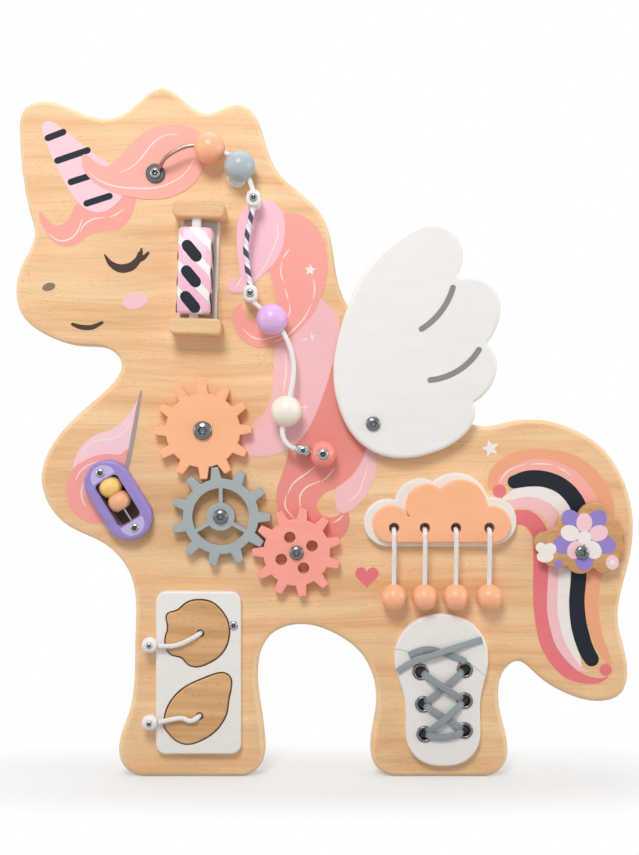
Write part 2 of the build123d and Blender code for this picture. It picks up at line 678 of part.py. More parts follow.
with BuildPart() as wire_end_clip:
    with BuildSketch(face(0, *clip_at, clip_turn)):
        RectangleRounded(*clip_size, clip_corner)
        Circle(wire_screw_shank_radius + pilot_clearance, mode=Mode.SUBTRACT)
    extrude(amount=clip_height)
    fillet(wire_end_clip.faces().sort_by(Axis.Y)[0].outer_wire().edges(), clip_edge_round)
    add(bead_wire_lower.part, mode=Mode.SUBTRACT)
    add(end_knob.part, mode=Mode.SUBTRACT)
wire_end_clip.part.label = "wire_end_clip"
export_step(wire_end_clip.part, "parts/wire_end_clip.step")

with BuildPart() as track_stop:
    with BuildSketch(face(0, *track_stop_at)):
        Circle(track_stop_radius)
    extrude(amount=track_stop_height)
    chamfer(track_stop.edges().group_by(Axis.Y)[0], track_stop_chamfer)
track_stop.part.label = "track_stop"
export_step(track_stop.part, "parts/track_stop.step")

with BuildPart() as wire_screws:
    for place, seat in screw_seats.values():
        screw(place, seat, wire_screw_head_radius, wire_screw_shank_radius, seat + wire_screw_bite)
wire_screws.part.label = "wire_screws"
export_step(wire_screws.part, "parts/wire_screws.step")

bead_flat = 0.35
bead_seats = {
    "track_bead_peach": (upper_arc_centre, upper_arc_radius, bead_angles[0]),
    "track_bead_grey": (upper_arc_centre, upper_arc_radius, bead_angles[1]),
    "track_bead_purple": (lower_arc_centre, lower_arc_radius, bead_angles[2]),
}
for name, (centre, radius, angle) in bead_seats.items():
    # the bore is straight and the wire bends, so the ball rides half the bend's rise inside it
    rise = (track_bead_radius**2) / (2 * radius)
    with BuildPart() as track_bead:
        ball_at = on_face(*polar(centre, radius - rise / 2, angle), wire_height)
        round_bead(ball_at, straight_way(angle), track_bead_radius, track_bore_radius, bead_flat)
    track_bead.part.label = name
    export_step(track_bead.part, f"parts/{name}.step")

with BuildPart() as track_bead_cream:
    cream_at = on_face(*lower_arc_foot, wire_height) + run_way * cream_bead_along
    round_bead(cream_at, run_way, track_bead_radius, wire_radius + 0.1, bead_flat)
track_bead_cream.part.label = "track_bead_cream"
export_step(track_bead_cream.part, "parts/track_bead_cream.step")

# ---------------------------------------------------------------- gears

with BuildPart() as gear_peach:
    with BuildSketch(face(gear_seat, *peach_gear_at)):
        toothed_disc(peach_teeth, peach_tip_radius, peach_root_radius, peach_phase)
        Circle(gear_bore_radius, mode=Mode.SUBTRACT)
    extrude(amount=gear_thickness)
    chamfer(gear_peach.faces().sort_by(Axis.Y)[0].outer_wire().edges(), gear_edge_chamfer)
gear_peach.part.label = "gear_peach"
export_step(gear_peach.part, "parts/gear_peach.step")

with BuildPart() as gear_grey:
    with BuildSketch(face(gear_seat, *grey_gear_at)):
        toothed_disc(grey_teeth, grey_tip_radius, grey_root_radius, grey_phase)
        Circle(grey_ring_inner_radius, mode=Mode.SUBTRACT)
        Circle(grey_hub_radius)
        for angle in grey_spoke_angles:
            with Locations(polar((0, 0), (grey_ring_inner_radius + grey_hub_radius) / 2, angle)):
                Rectangle(grey_ring_inner_radius - grey_hub_radius + 2.0, grey_spoke_width, rotation=angle)
        Circle(gear_bore_radius, mode=Mode.SUBTRACT)
    extrude(amount=gear_thickness)
    chamfer(gear_grey.faces().sort_by(Axis.Y)[0].outer_wire().edges(), gear_edge_chamfer)
gear_grey.part.label = "gear_grey"
export_step(gear_grey.part, "parts/gear_grey.step")

with BuildPart() as gear_pink:
    with BuildSketch(face(gear_seat, *pink_gear_at)):
        toothed_disc(pink_teeth, pink_tip_radius, pink_root_radius, pink_phase)
        Circle(gear_bore_radius, mode=Mode.SUBTRACT)
        for angle in pink_hole_angles:
            with Locations(polar((0, 0), pink_hole_circle, angle)):
                Circle(pink_hole_radius, mode=Mode.SUBTRACT)
    extrude(amount=gear_thickness)
    chamfer(gear_pink.faces().sort_by(Axis.Y)[0].outer_wire().edges(), gear_edge_chamfer)
gear_pink.part.label = "gear_pink"
export_step(gear_pink.part, "parts/gear_pink.step")

with BuildPart() as gear_bushes:
    for place in gear_places:
        flanged_bush(place, gear_flange_radius, gear_flange_height, gear_bush_radius, gear_top,
                     gear_screw_shank_radius + pilot_clearance)
gear_bushes.part.label = "gear_bushes"
export_step(gear_bushes.part, "parts/gear_bushes.step")

with BuildPart() as gear_screws:
    for place, head_radius in zip(gear_places, gear_screw_head_radii):
        screw(place, gear_top, head_radius, gear_screw_shank_radius, gear_screw_length)
gear_screws.part.label = "gear_screws"
export_step(gear_screws.part, "parts/gear_screws.step")

# ---------------------------------------------------------------- wing

wing_top = wing_seat + wing_thickness
with BuildPart() as wing:
    with BuildSketch(face(wing_seat)) as feathers:
        with BuildLine():
            Spline(wing_notches[2], *wing_rim, *wing_upper_lobe, wing_notches[0])
            Spline(wing_notches[0], *wing_middle_lobe, wing_notches[1])
            Spline(wing_notches[1], *wing_lower_lobe, wing_notches[2])
        make_face()
        fillet(feathers.vertices(), wing_notch_round)
        with Locations(wing_pivot):
            Circle(wing_bore_radius, mode=Mode.SUBTRACT)
    extrude(amount=wing_thickness)
    fillet(wing.faces().sort_by(Axis.Y)[0].outer_wire().edges(), wing_edge_round)
    for start, middle, end in wing_grooves:
        with BuildSketch(face(wing_top)):
            with BuildLine(mode=Mode.PRIVATE) as groove:
                ThreePointArc(start, middle, end)
            SlotArc(groove.edge(), wing_groove_width)
        extrude(amount=-wing_groove_depth, mode=Mode.SUBTRACT)
wing.part.label = "wing"
export_step(wing.part, "parts/wing.step")

with BuildPart() as wing_spacer:
    flanged_bush(wing_pivot, wing_flange_radius, wing_seat - wing_play, wing_post_radius,
                 wing_top + wing_play, gear_screw_shank_radius + pilot_clearance)
wing_spacer.part.label = "wing_spacer"
export_step(wing_spacer.part, "parts/wing_spacer.step")

with BuildPart() as wing_screw:
    screw(wing_pivot, wing_top + wing_play, wing_screw_head_radius, gear_screw_shank_radius,
          wing_top + centre_screw_bite)
wing_screw.part.label = "wing_screw"
export_step(wing_screw.part, "parts/wing_screw.step")

# ---------------------------------------------------------------- slider

with BuildPart() as slider_frame:
    with BuildSketch(face(0, *slider_at, slider_turn)):
        SlotCenterToCenter(2 * slider_half_spacing, 2 * slider_end_radius, rotation=90)
        RectangleRounded(*slider_window, slider_window_corner, mode=Mode.SUBTRACT)
        with Locations((0, slider_screw_reach), (0, -slider_screw_reach)):
            Circle(slider_screw_shank_radius + pilot_clearance, mode=Mode.SUBTRACT)
    extrude(amount=slider_height)
    fillet(slider_frame.faces().sort_by(Axis.Y)[0].outer_wire().edges(), slider_edge_round)
    # shallow seats for the two screw heads
    with BuildSketch(face(slider_height, *slider_at, slider_turn)):
        with Locations((0, slider_screw_reach), (0, -slider_screw_reach)):
            Circle(slider_groove_radius)
    extrude(amount=-slider_groove_depth, mode=Mode.SUBTRACT)
    # seats for the rod
    rod_centre = on_face(*slider_at, slider_rod_height)
    rod_half = slider_window[1] / 2 + slider_rod_seat
    with BuildSketch(Plane(origin=rod_centre, z_dir=slider_way)):
        Circle(slider_rod_radius)
    extrude(amount=rod_half, both=True, mode=Mode.SUBTRACT)
slider_frame.part.label = "slider_frame"
export_step(slider_frame.part, "parts/slider_frame.step")

with BuildPart() as slider_rod:
    with BuildSketch(Plane(origin=rod_centre, z_dir=slider_way)):
        Circle(slider_rod_radius)
    extrude(amount=rod_half, both=True)
slider_rod.part.label = "slider_rod"
export_step(slider_rod.part, "parts/slider_rod.step")

for name, along in zip(("slider_bead_yellow", "slider_bead_peach"), slider_bead_starts):
    with BuildPart() as slider_bead:
        middle = rod_centre + slider_way * along
        with BuildSketch(Plane(origin=middle, x_dir=slider_way, z_dir=slider_way.cross(Vector(0, 1, 0)))):
            half = slider_bead_length / 2
            rim = 0.62 * slider_bead_radius
            with BuildLine():
                Polyline((-half, rim), (-half, slider_bead_bore), (half, slider_bead_bore), (half, rim))
                ThreePointArc((half, rim), (0, slider_bead_radius), (-half, rim))
            make_face()
        revolve(axis=Axis(middle, slider_way))
    slider_bead.part.label = name
    export_step(slider_bead.part, f"parts/{name}.step")

with BuildPart() as slider_screws:
    for place in slider_screw_places:
        seat = slider_height - slider_groove_depth
        screw(place, seat, slider_screw_head_radius, slider_screw_shank_radius, seat + slider_screw_bite)
slider_screws.part.label = "slider_screws"
export_step(slider_screws.part, "parts/slider_screws.step")

# ---------------------------------------------------------------- roller

axle_half = block_gap / 2 + axle_seat_depth
axle_centre = on_face(*polar(roller_at, axle_offset, roller_turn), roller_axis_height)
drum_centre = axle_centre - roller_way * drum_drop
for name, place in zip(("roller_block_top", "roller_block_bottom"), block_places):
    with BuildPart() as roller_block:
        with BuildSketch(face(0, *place, roller_turn)):
            RectangleRounded(block_width, block_length, block_corner)
        extrude(amount=block_height)
        fillet(roller_block.faces().sort_by(Axis.Y)[0].outer_wire().edges(), block_edge_round)
        with BuildSketch(Plane(origin=axle_centre, z_dir=roller_way)):
            Circle(roller_axle_radius)
        extrude(amount=axle_half, both=True, mode=Mode.SUBTRACT)
        rear_socket(place)
    roller_block.part.label = name
    export_step(roller_block.part, f"parts/{name}.step")

with BuildPart() as roller_axle:
    with BuildSketch(Plane(origin=axle_centre, z_dir=roller_way)):
        Circle(roller_axle_radius)
    extrude(amount=axle_half, both=True)
roller_axle.part.label = "roller_axle"
export_step(roller_axle.part, "parts/roller_axle.step")

with BuildPart() as roller_drum:
    with BuildSketch(Plane(origin=drum_centre, x_dir=(roller_way.Z, 0, -roller_way.X), z_dir=roller_way)):
        RectangleRounded(drum_width, drum_depth, drum_corner)
        Circle(drum_bore_radius, mode=Mode.SUBTRACT)
    extrude(amount=drum_length / 2, both=True)
    ends = roller_drum.faces().filter_by(Plane(origin=drum_centre, z_dir=roller_way)).sort_by(Axis.Z)
    fillet(ends[0].outer_wire().edges() + ends[-1].outer_wire().edges(), drum_end_round)
roller_drum.part.label = "roller_drum"
export_step(roller_drum.part, "parts/roller_drum.step")

with BuildPart() as roller_channel:
    with BuildSketch(face(0, *roller_at, roller_turn)):
        Rectangle(channel_width, block_gap)
    extrude(amount=channel_wall)
    with BuildSketch(face(channel_wall, *roller_at, roller_turn)):
        Rectangle(channel_width, block_gap)
        Rectangle(channel_width - 2 * channel_wall, block_gap, mode=Mode.SUBTRACT)
    extrude(amount=channel_side_height - channel_wall)
roller_channel.part.label = "roller_channel"
export_step(roller_channel.part, "parts/roller_channel.step")

# ---------------------------------------------------------------- cloud and pull beads


def cloud(lobes, bar):
    """Add a cloud of round lobes joined by a bar to the current sketch."""
    for centre, radius in lobes:
        with Locations(centre):
            Circle(radius)
    (left, bottom), (right, top) = bar
    with Locations(((left + right) / 2, (bottom + top) / 2)):
        Rectangle(right - left, top - bottom)


with BuildPart() as cloud_base:
    with BuildSketch(face(0)):
        cloud(cloud_base_lobes, cloud_base_bar)
    extrude(amount=cloud_base_height)
    fillet(cloud_base.faces().sort_by(Axis.Y)[0].outer_wire().edges(), cloud_edge_round)
    with BuildSketch(face(0)):
        with Locations(*[(x, pull_hole_row) for x in pull_columns]):
            Circle(pull_hole_radius)
    extrude(amount=cloud_base_height, mode=Mode.SUBTRACT)
    for place in cloud_screw_places:
        rear_socket(place)
cloud_base.part.label = "cloud_base"
export_step(cloud_base.part, "parts/cloud_base.step")

with BuildPart() as cloud_front:
    with BuildSketch(face(cloud_base_height)):
        cloud(cloud_front_lobes, cloud_front_bar)
    extrude(amount=cloud_front_height)
    fillet(cloud_front.faces().sort_by(Axis.Y)[0].outer_wire().edges(), cloud_edge_round)
    with BuildSketch(face(cloud_base_height)):
        with Locations(*[(x, pull_hole_row) for x in pull_columns]):
            Circle(pull_hole_radius)
    extrude(amount=cloud_front_height, mode=Mode.SUBTRACT)
cloud_front.part.label = "cloud_front"
export_step(cloud_front.part, "parts/cloud_front.step")

cloud_top = cloud_base_height + cloud_front_height
bead_top = pull_bead_drop + pull_bead_radius
for number, column in enumerate(pull_columns, start=1):
    with BuildPart() as pull_cord:
        start_row = pull_hole_row - pull_cord_run[0][0]
        tube(
            (
                on_face(column, start_row, cloud_base_height - pull_cord_start_depth),
                *[on_face(column, pull_hole_row - drop, cloud_top + stand) for drop, stand in pull_cord_run],
                on_face(column, bead_top + pull_cord_level, pull_bead_height + pull_cord_stand),
                on_face(column, bead_top - pull_knot_depth, pull_bead_height),
            ),
            pull_cord_radius,
        )
    pull_cord.part.label = f"pull_cord_{number}"
    export_step(pull_cord.part, f"parts/pull_cord_{number}.step")
    with BuildPart() as pull_bead:
        centre = on_face(column, pull_bead_drop, pull_bead_height)
        round_bead(centre, Vector(0, 0, 1), pull_bead_radius, pull_cord_radius * 0.6, bead_flat)
        add(pull_cord.part, mode=Mode.SUBTRACT)
    pull_bead.part.label = f"pull_bead_{number}"
    export_step(pull_bead.part, f"parts/pull_bead_{number}.step")

# ---------------------------------------------------------------- shoe plate and lace

with BuildPart() as shoe_plate:
    with BuildSketch(face(0)):
        with BuildLine():
            Spline(*shoe_outline, periodic=True)
        make_face()
        with Locations(*eyelet_places):
            Circle(eyelet_hole_radius + eyelet_barrel_wall, mode=Mode.SUBTRACT)
    extrude(amount=shoe_height)
    fillet(shoe_plate.faces().sort_by(Axis.Y)[0].outer_wire().edges(), shoe_edge_round)
    for place in shoe_screw_places:
        rear_socket(place)
shoe_plate.part.label = "shoe_plate"
export_step(shoe_plate.part, "parts/shoe_plate.step")

with BuildPart() as shoe_eyelets:
    for place in eyelet_places:
        x, z = place
        with BuildSketch(Plane(origin=on_face(x, z, 0), x_dir=(1, 0, 0), z_dir=(0, 0, 1))):
            barrel = eyelet_hole_radius + eyelet_barrel_wall
            with BuildLine():
                Polyline((barrel, 0), (eyelet_hole_radius, 0), (eyelet_hole_radius, -shoe_height))
                ThreePointArc((eyelet_hole_radius, -shoe_height),
                              ((eyelet_hole_radius + eyelet_radius) / 2, -shoe_height - eyelet_height),
                              (eyelet_radius, -shoe_height))
                Polyline((eyelet_radius, -shoe_height), (barrel, -shoe_height), (barrel, 0))
            make_face()
        revolve(axis=Axis(on_face(x, z, 0), (0, 1, 0)))
shoe_eyelets.part.label = "shoe_eyelets"
export_step(shoe_eyelets.part, "parts/shoe_eyelets.step")

top_left, top_right, middle_left, middle_right, bottom_left, bottom_right = eyelet_places


def lace_run(start, end, height, lift_start, lift_end):
    """Add one straight run of lace from eyelet to eyelet, its ends dipping into the holes."""
    reach = Vector(end[0] - start[0], end[1] - start[1], 0).normalized()
    dip, bend = reach * lace_lean[0], reach * (lace_lean[0] + lace_lean[1])
    with BuildLine() as run:
        FilletPolyline(
            on_face(start[0] + dip.X, start[1] + dip.Y + lift_start, lace_dip_height),
            on_face(start[0] + bend.X, start[1] + bend.Y + lift_start, height),
            on_face(end[0] - bend.X, end[1] - bend.Y + lift_end, height),
            on_face(end[0] - dip.X, end[1] - dip.Y + lift_end, lace_dip_height),
            radius=lace_bend,
        )
    with BuildSketch(Plane(origin=run.line @ 0, z_dir=run.line % 0)) as section:
        Circle(lace_radius)
    sweep(section.sketch, path=run.line)


with BuildPart() as shoelace:
    lace_run(top_left, middle_right, lace_over_height, 0.0, lace_side)
    lace_run(middle_left, bottom_right, lace_under_height, -lace_side, lace_side)
    lace_run(top_right, middle_left, lace_under_height, 0.0, lace_side)
    lace_run(middle_right, bottom_left, lace_over_height, -lace_side, lace_side)
    lace_run(bottom_left, bottom_right, lace_bar_height, -lace_side, -lace_side)
shoelace.part.label = "shoelace"
export_step(shoelace.part, "parts/shoelace.step")

with BuildPart() as lace_ends:
    tube((on_face(*point) for point in lace_tie), lace_radius)
    tube((on_face(*point) for point in lace_tail), lace_radius)
lace_ends.part.label = "lace_ends"
export_step(lace_ends.part, "parts/lace_ends.step")

# ---------------------------------------------------------------- puzzle panel

with BuildPart() as puzzle_panel:
    with BuildSketch(face(0)):
        with Locations(panel_centre):
            RectangleRounded(*panel_size, panel_corner)
    extrude(amount=panel_height)
    fillet(puzzle_panel.faces().sort_by(Axis.Y)[0].outer_wire().edges(), panel_edge_round)
    with BuildSketch(face(0)):
        for recess in (fruit_recess, leaf_recess):
            with BuildLine():
                Spline(*recess, periodic=True)
            make_face()
        with Locations(panel_screw_at):
            Circle(wire_screw_shank_radius + pilot_clearance)
    extrude(amount=panel_height, mode=Mode.SUBTRACT)
puzzle_panel.part.label = "puzzle_panel"
export_step(puzzle_panel.part, "parts/puzzle_panel.step")

puzzle_pieces = {"puzzle_fruit": (fruit_recess, fruit_hole_at), "puzzle_leaf": (leaf_recess, leaf_hole_at)}
for name, (recess, hole) in puzzle_pieces.items():
    with BuildPart() as puzzle_piece:
        with BuildSketch(face(puzzle_lift)):
            with BuildLine():
                Spline(*inset(recess, puzzle_gap), periodic=True)
            make_face()
            with Locations(hole):
                Circle(cord_hole_radius, mode=Mode.SUBTRACT)
        extrude(amount=puzzle_thickness)
        fillet(puzzle_piece.faces().sort_by(Axis.Y)[0].outer_wire().edges(), puzzle_edge_round)
    puzzle_piece.part.label = name
    export_step(puzzle_piece.part, f"parts/{name}.step")

with BuildPart() as cord_knobs:
    for place in knob_places:
        knob_plane = Plane(origin=on_face(*place, 0), x_dir=(1, 0, 0), z_dir=(0, 0, 1))
        with BuildSketch(knob_plane):
            inner = wire_screw_shank_radius + pilot_clearance
            with BuildLine():
                stem = cord_knob_stem_radius
                neck = panel_height + cord_knob_gap
                Polyline((stem, -cord_knob_height), (inner, -cord_knob_height), (inner, 0),
                         (stem, 0), (stem, -neck))
                ThreePointArc((stem, -neck), (cord_knob_radius, -cord_knob_belly), (stem, -cord_knob_height))
            make_face()
        revolve(axis=Axis(knob_plane.origin, (0, 1, 0)))
cord_knobs.part.label = "cord_knobs"
export_step(cord_knobs.part, "parts/cord_knobs.step")

for name, route in (("fruit_tether", fruit_tether), ("leaf_tether", leaf_tether)):
    with BuildPart() as tether:
        tube((on_face(*point) for point in route), tether_radius)
    tether.part.label = name
    export_step(tether.part, f"parts/{name}.step")

with BuildPart() as panel_screws:
    screw(panel_screw_at, panel_height, panel_screw_head_radius, wire_screw_shank_radius,
          panel_height + panel_screw_bite)
    for place in knob_places:
        screw(place, cord_knob_height, cord_knob_screw_head_radius, wire_screw_shank_radius,
              cord_knob_height + panel_screw_bite)
panel_screws.part.label = "panel_screws"
export_step(panel_screws.part, "parts/panel_screws.step")

# ---------------------------------------------------------------- spinner

spinner_top = spinner_seat + spinner_thickness
with BuildPart() as cloud_spinner:
    with BuildSketch(face(spinner_seat, *spinner_at)) as lobes:
        for centre, radius in spinner_lobes:
            with Locations(centre):
                Circle(radius)
        fillet(lobes.vertices(), spinner_notch_round)
        Circle(spinner_bore_radius, mode=Mode.SUBTRACT)
    extrude(amount=spinner_thickness)
    fillet(cloud_spinner.faces().sort_by(Axis.Y)[0].outer_wire().edges(), spinner_edge_round)
cloud_spinner.part.label = "cloud_spinner"
export_step(cloud_spinner.part, "parts/cloud_spinner.step")

with BuildPart() as spinner_spacer:
    flanged_bush(spinner_at, spinner_flange_radius, spinner_seat - spinner_play, spinner_post_radius,
                 spinner_top + spinner_play, gear_screw_shank_radius + pilot_clearance)
spinner_spacer.part.label = "spinner_spacer"
export_step(spinner_spacer.part, "parts/spinner_spacer.step")

with BuildPart() as spinner_screw:
    screw(spinner_at, spinner_top + spinner_play, spinner_head_radius, gear_screw_shank_radius,
          spinner_top + centre_screw_bite)
spinner_screw.part.label = "spinner_screw"
export_step(spinner_screw.part, "parts/spinner_screw.step")

# ---------------------------------------------------------------- screws from behind

with BuildPart() as rear_screws:
    for x, z in rear_screw_places:
        with BuildSketch(Plane(origin=(x, board_back, z), x_dir=(1, 0, 0), z_dir=(0, 0, 1))) as countersunk:
            sink = rear_screw_head_radius - rear_screw_shank_radius - pilot_clearance
            shank = rear_screw_shank_radius
            with BuildLine():
                Polyline((0, 0), (rear_screw_head_radius - rear_screw_rim, 0), (shank, -sink),
                         (shank, rear_screw_tip[1] - shank_reach), (rear_screw_tip[0], -shank_reach),
                         (0, -shank_reach), close=True)
            make_face()
        revolve(countersunk.sketch, axis=Axis((x, board_back, z), (0, 1, 0)))
rear_screws.part.label = "rear_screws"
export_step(rear_screws.part, "parts/rear_screws.step")
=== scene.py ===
"""Looks of a wooden busy board: finishes, printed decoration, fasteners, cords, camera and light.

The solids are ready-made and stay where they are. Blender works in metres; sizes in this file are in
millimetres unless a name says otherwise. X is to the right and Z is up, seen from in front, and a
height counts from the board's face towards the viewer.
"""
import logging
import math
from dataclasses import dataclass
from enum import Enum
from typing import Callable, Iterable, Sequence

import bpy
from mathutils import Matrix, Vector


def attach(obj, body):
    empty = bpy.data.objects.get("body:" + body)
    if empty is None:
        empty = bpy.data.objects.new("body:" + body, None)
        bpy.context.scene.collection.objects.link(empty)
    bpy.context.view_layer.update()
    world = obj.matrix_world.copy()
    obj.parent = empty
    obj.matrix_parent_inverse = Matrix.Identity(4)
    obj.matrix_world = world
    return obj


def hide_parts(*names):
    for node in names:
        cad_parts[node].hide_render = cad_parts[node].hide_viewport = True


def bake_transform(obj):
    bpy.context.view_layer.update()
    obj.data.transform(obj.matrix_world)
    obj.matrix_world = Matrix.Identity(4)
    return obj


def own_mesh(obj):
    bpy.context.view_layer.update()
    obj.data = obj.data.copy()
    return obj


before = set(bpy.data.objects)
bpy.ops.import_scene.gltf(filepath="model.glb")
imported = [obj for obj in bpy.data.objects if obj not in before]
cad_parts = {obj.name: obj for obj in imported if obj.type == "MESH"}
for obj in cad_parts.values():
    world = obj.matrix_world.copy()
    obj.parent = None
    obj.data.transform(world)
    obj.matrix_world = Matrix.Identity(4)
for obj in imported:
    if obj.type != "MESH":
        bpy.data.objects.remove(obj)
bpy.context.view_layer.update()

log = logging.getLogger("busy_board")

Point = tuple[float, float]
Outline = list[Point]
Route = Sequence[tuple[float, float, float]]

MM = 0.001
BOARD_FACE = 2.15           # y of the board's face
INK = 0.12                  # thickness of one printed layer
PRINT_SINK = 0.05           # how far a print reaches into what carries it
CORD_RADIUS = 1.5           # the cord that a braid's pattern is scaled for
ROOT = "root"


# ---------------------------------------------------------------- colours and nodes

def linear(code: str) -> tuple[float, float, float, float]:
    """Turn an sRGB hex colour into linear red, green, blue and alpha."""
    parts = [int(code[i:i + 2], 16) / 255 for i in (1, 3, 5)]
    return (*(c / 12.92 if c <= 0.04045 else ((c + 0.055) / 1.055) ** 2.4 for c in parts), 1.0)


def add(tree: bpy.types.NodeTree, kind: str, settings: dict | None = None,
        links: dict | None = None) -> bpy.types.Node:
    """Add one node to a shader tree.

    Args:
        tree: the material's or the world's node tree.
        kind: Blender's name of the node's type.
        settings: values by property name, or by input name or number.
        links: the output sockets to join to inputs, by input name or number.

    Returns:
        The new node.
    """
    node = tree.nodes.new(kind)
    for key, value in (settings or {}).items():
        if isinstance(key, str) and key in node.bl_rna.properties:
            setattr(node, key, value)
        else:
            node.inputs[key].default_value = value
    for key, socket in (links or {}).items():
        tree.links.new(socket, node.inputs[key])
    return node


class Pattern(Enum):
    """What a pattern is laid out by."""

    SOLID = "Object"        # the place in space, as grain runs through wood
    WRAP = "UV"             # along and around a cord or a wrap


@dataclass(frozen=True)
class Finish:
    """A surface of this object; each kind lays its own nodes."""

    name: str

    def paint(self, tree: bpy.types.NodeTree, shader: bpy.types.Node) -> None:
        """Lay the nodes that drive the shader."""
        raise NotImplementedError

    def place(self, tree: bpy.types.NodeTree, scale: Sequence[float],
              pattern: Pattern = Pattern.SOLID) -> bpy.types.NodeSocket:
        """Return coordinates for a pattern.

        Args:
            tree: the material's node tree.
            scale: repeats per metre along X, Y and Z, or per UV unit.
            pattern: what the coordinates follow.

        Returns:
            The socket with the scaled coordinates.
        """
        source = add(tree, "ShaderNodeTexCoord").outputs[pattern.value]
        return add(tree, "ShaderNodeMapping", {"Scale": tuple(scale)}, {"Vector": source}).outputs[0]

    def material(self) -> bpy.types.Material:
        """Return the finish as a Blender material, made once."""
        known = bpy.data.materials.get(self.name)
        if known:
            return known
        made = bpy.data.materials.new(self.name)
        made.use_nodes = True
        tree = made.node_tree
        tree.nodes.clear()
        shader = add(tree, "ShaderNodeBsdfPrincipled")
        add(tree, "ShaderNodeOutputMaterial", links={"Surface": shader.outputs[0]})
        self.paint(tree, shader)
        made.diffuse_color = shader.inputs["Base Color"].default_value
        return made


def per_mm(size: float) -> float:
    """Repeats per metre of a detail that is `size` millimetres across."""
    return 1 / (size * MM)


class Grain(Enum):
    """Which way wood fibres run: a detail's stretch along X, Y and Z."""

    ACROSS = (0, 2)
    UPRIGHT = (2, 0)

    def stretch(self, along: float, cross: float) -> tuple[float, float, float]:
        """Scales for a detail `along` mm long in the fibre's direction and `cross` mm wide."""
        scale = [per_mm(cross)] * 3
        scale[self.value[0]] = per_mm(along)
        return tuple(scale)


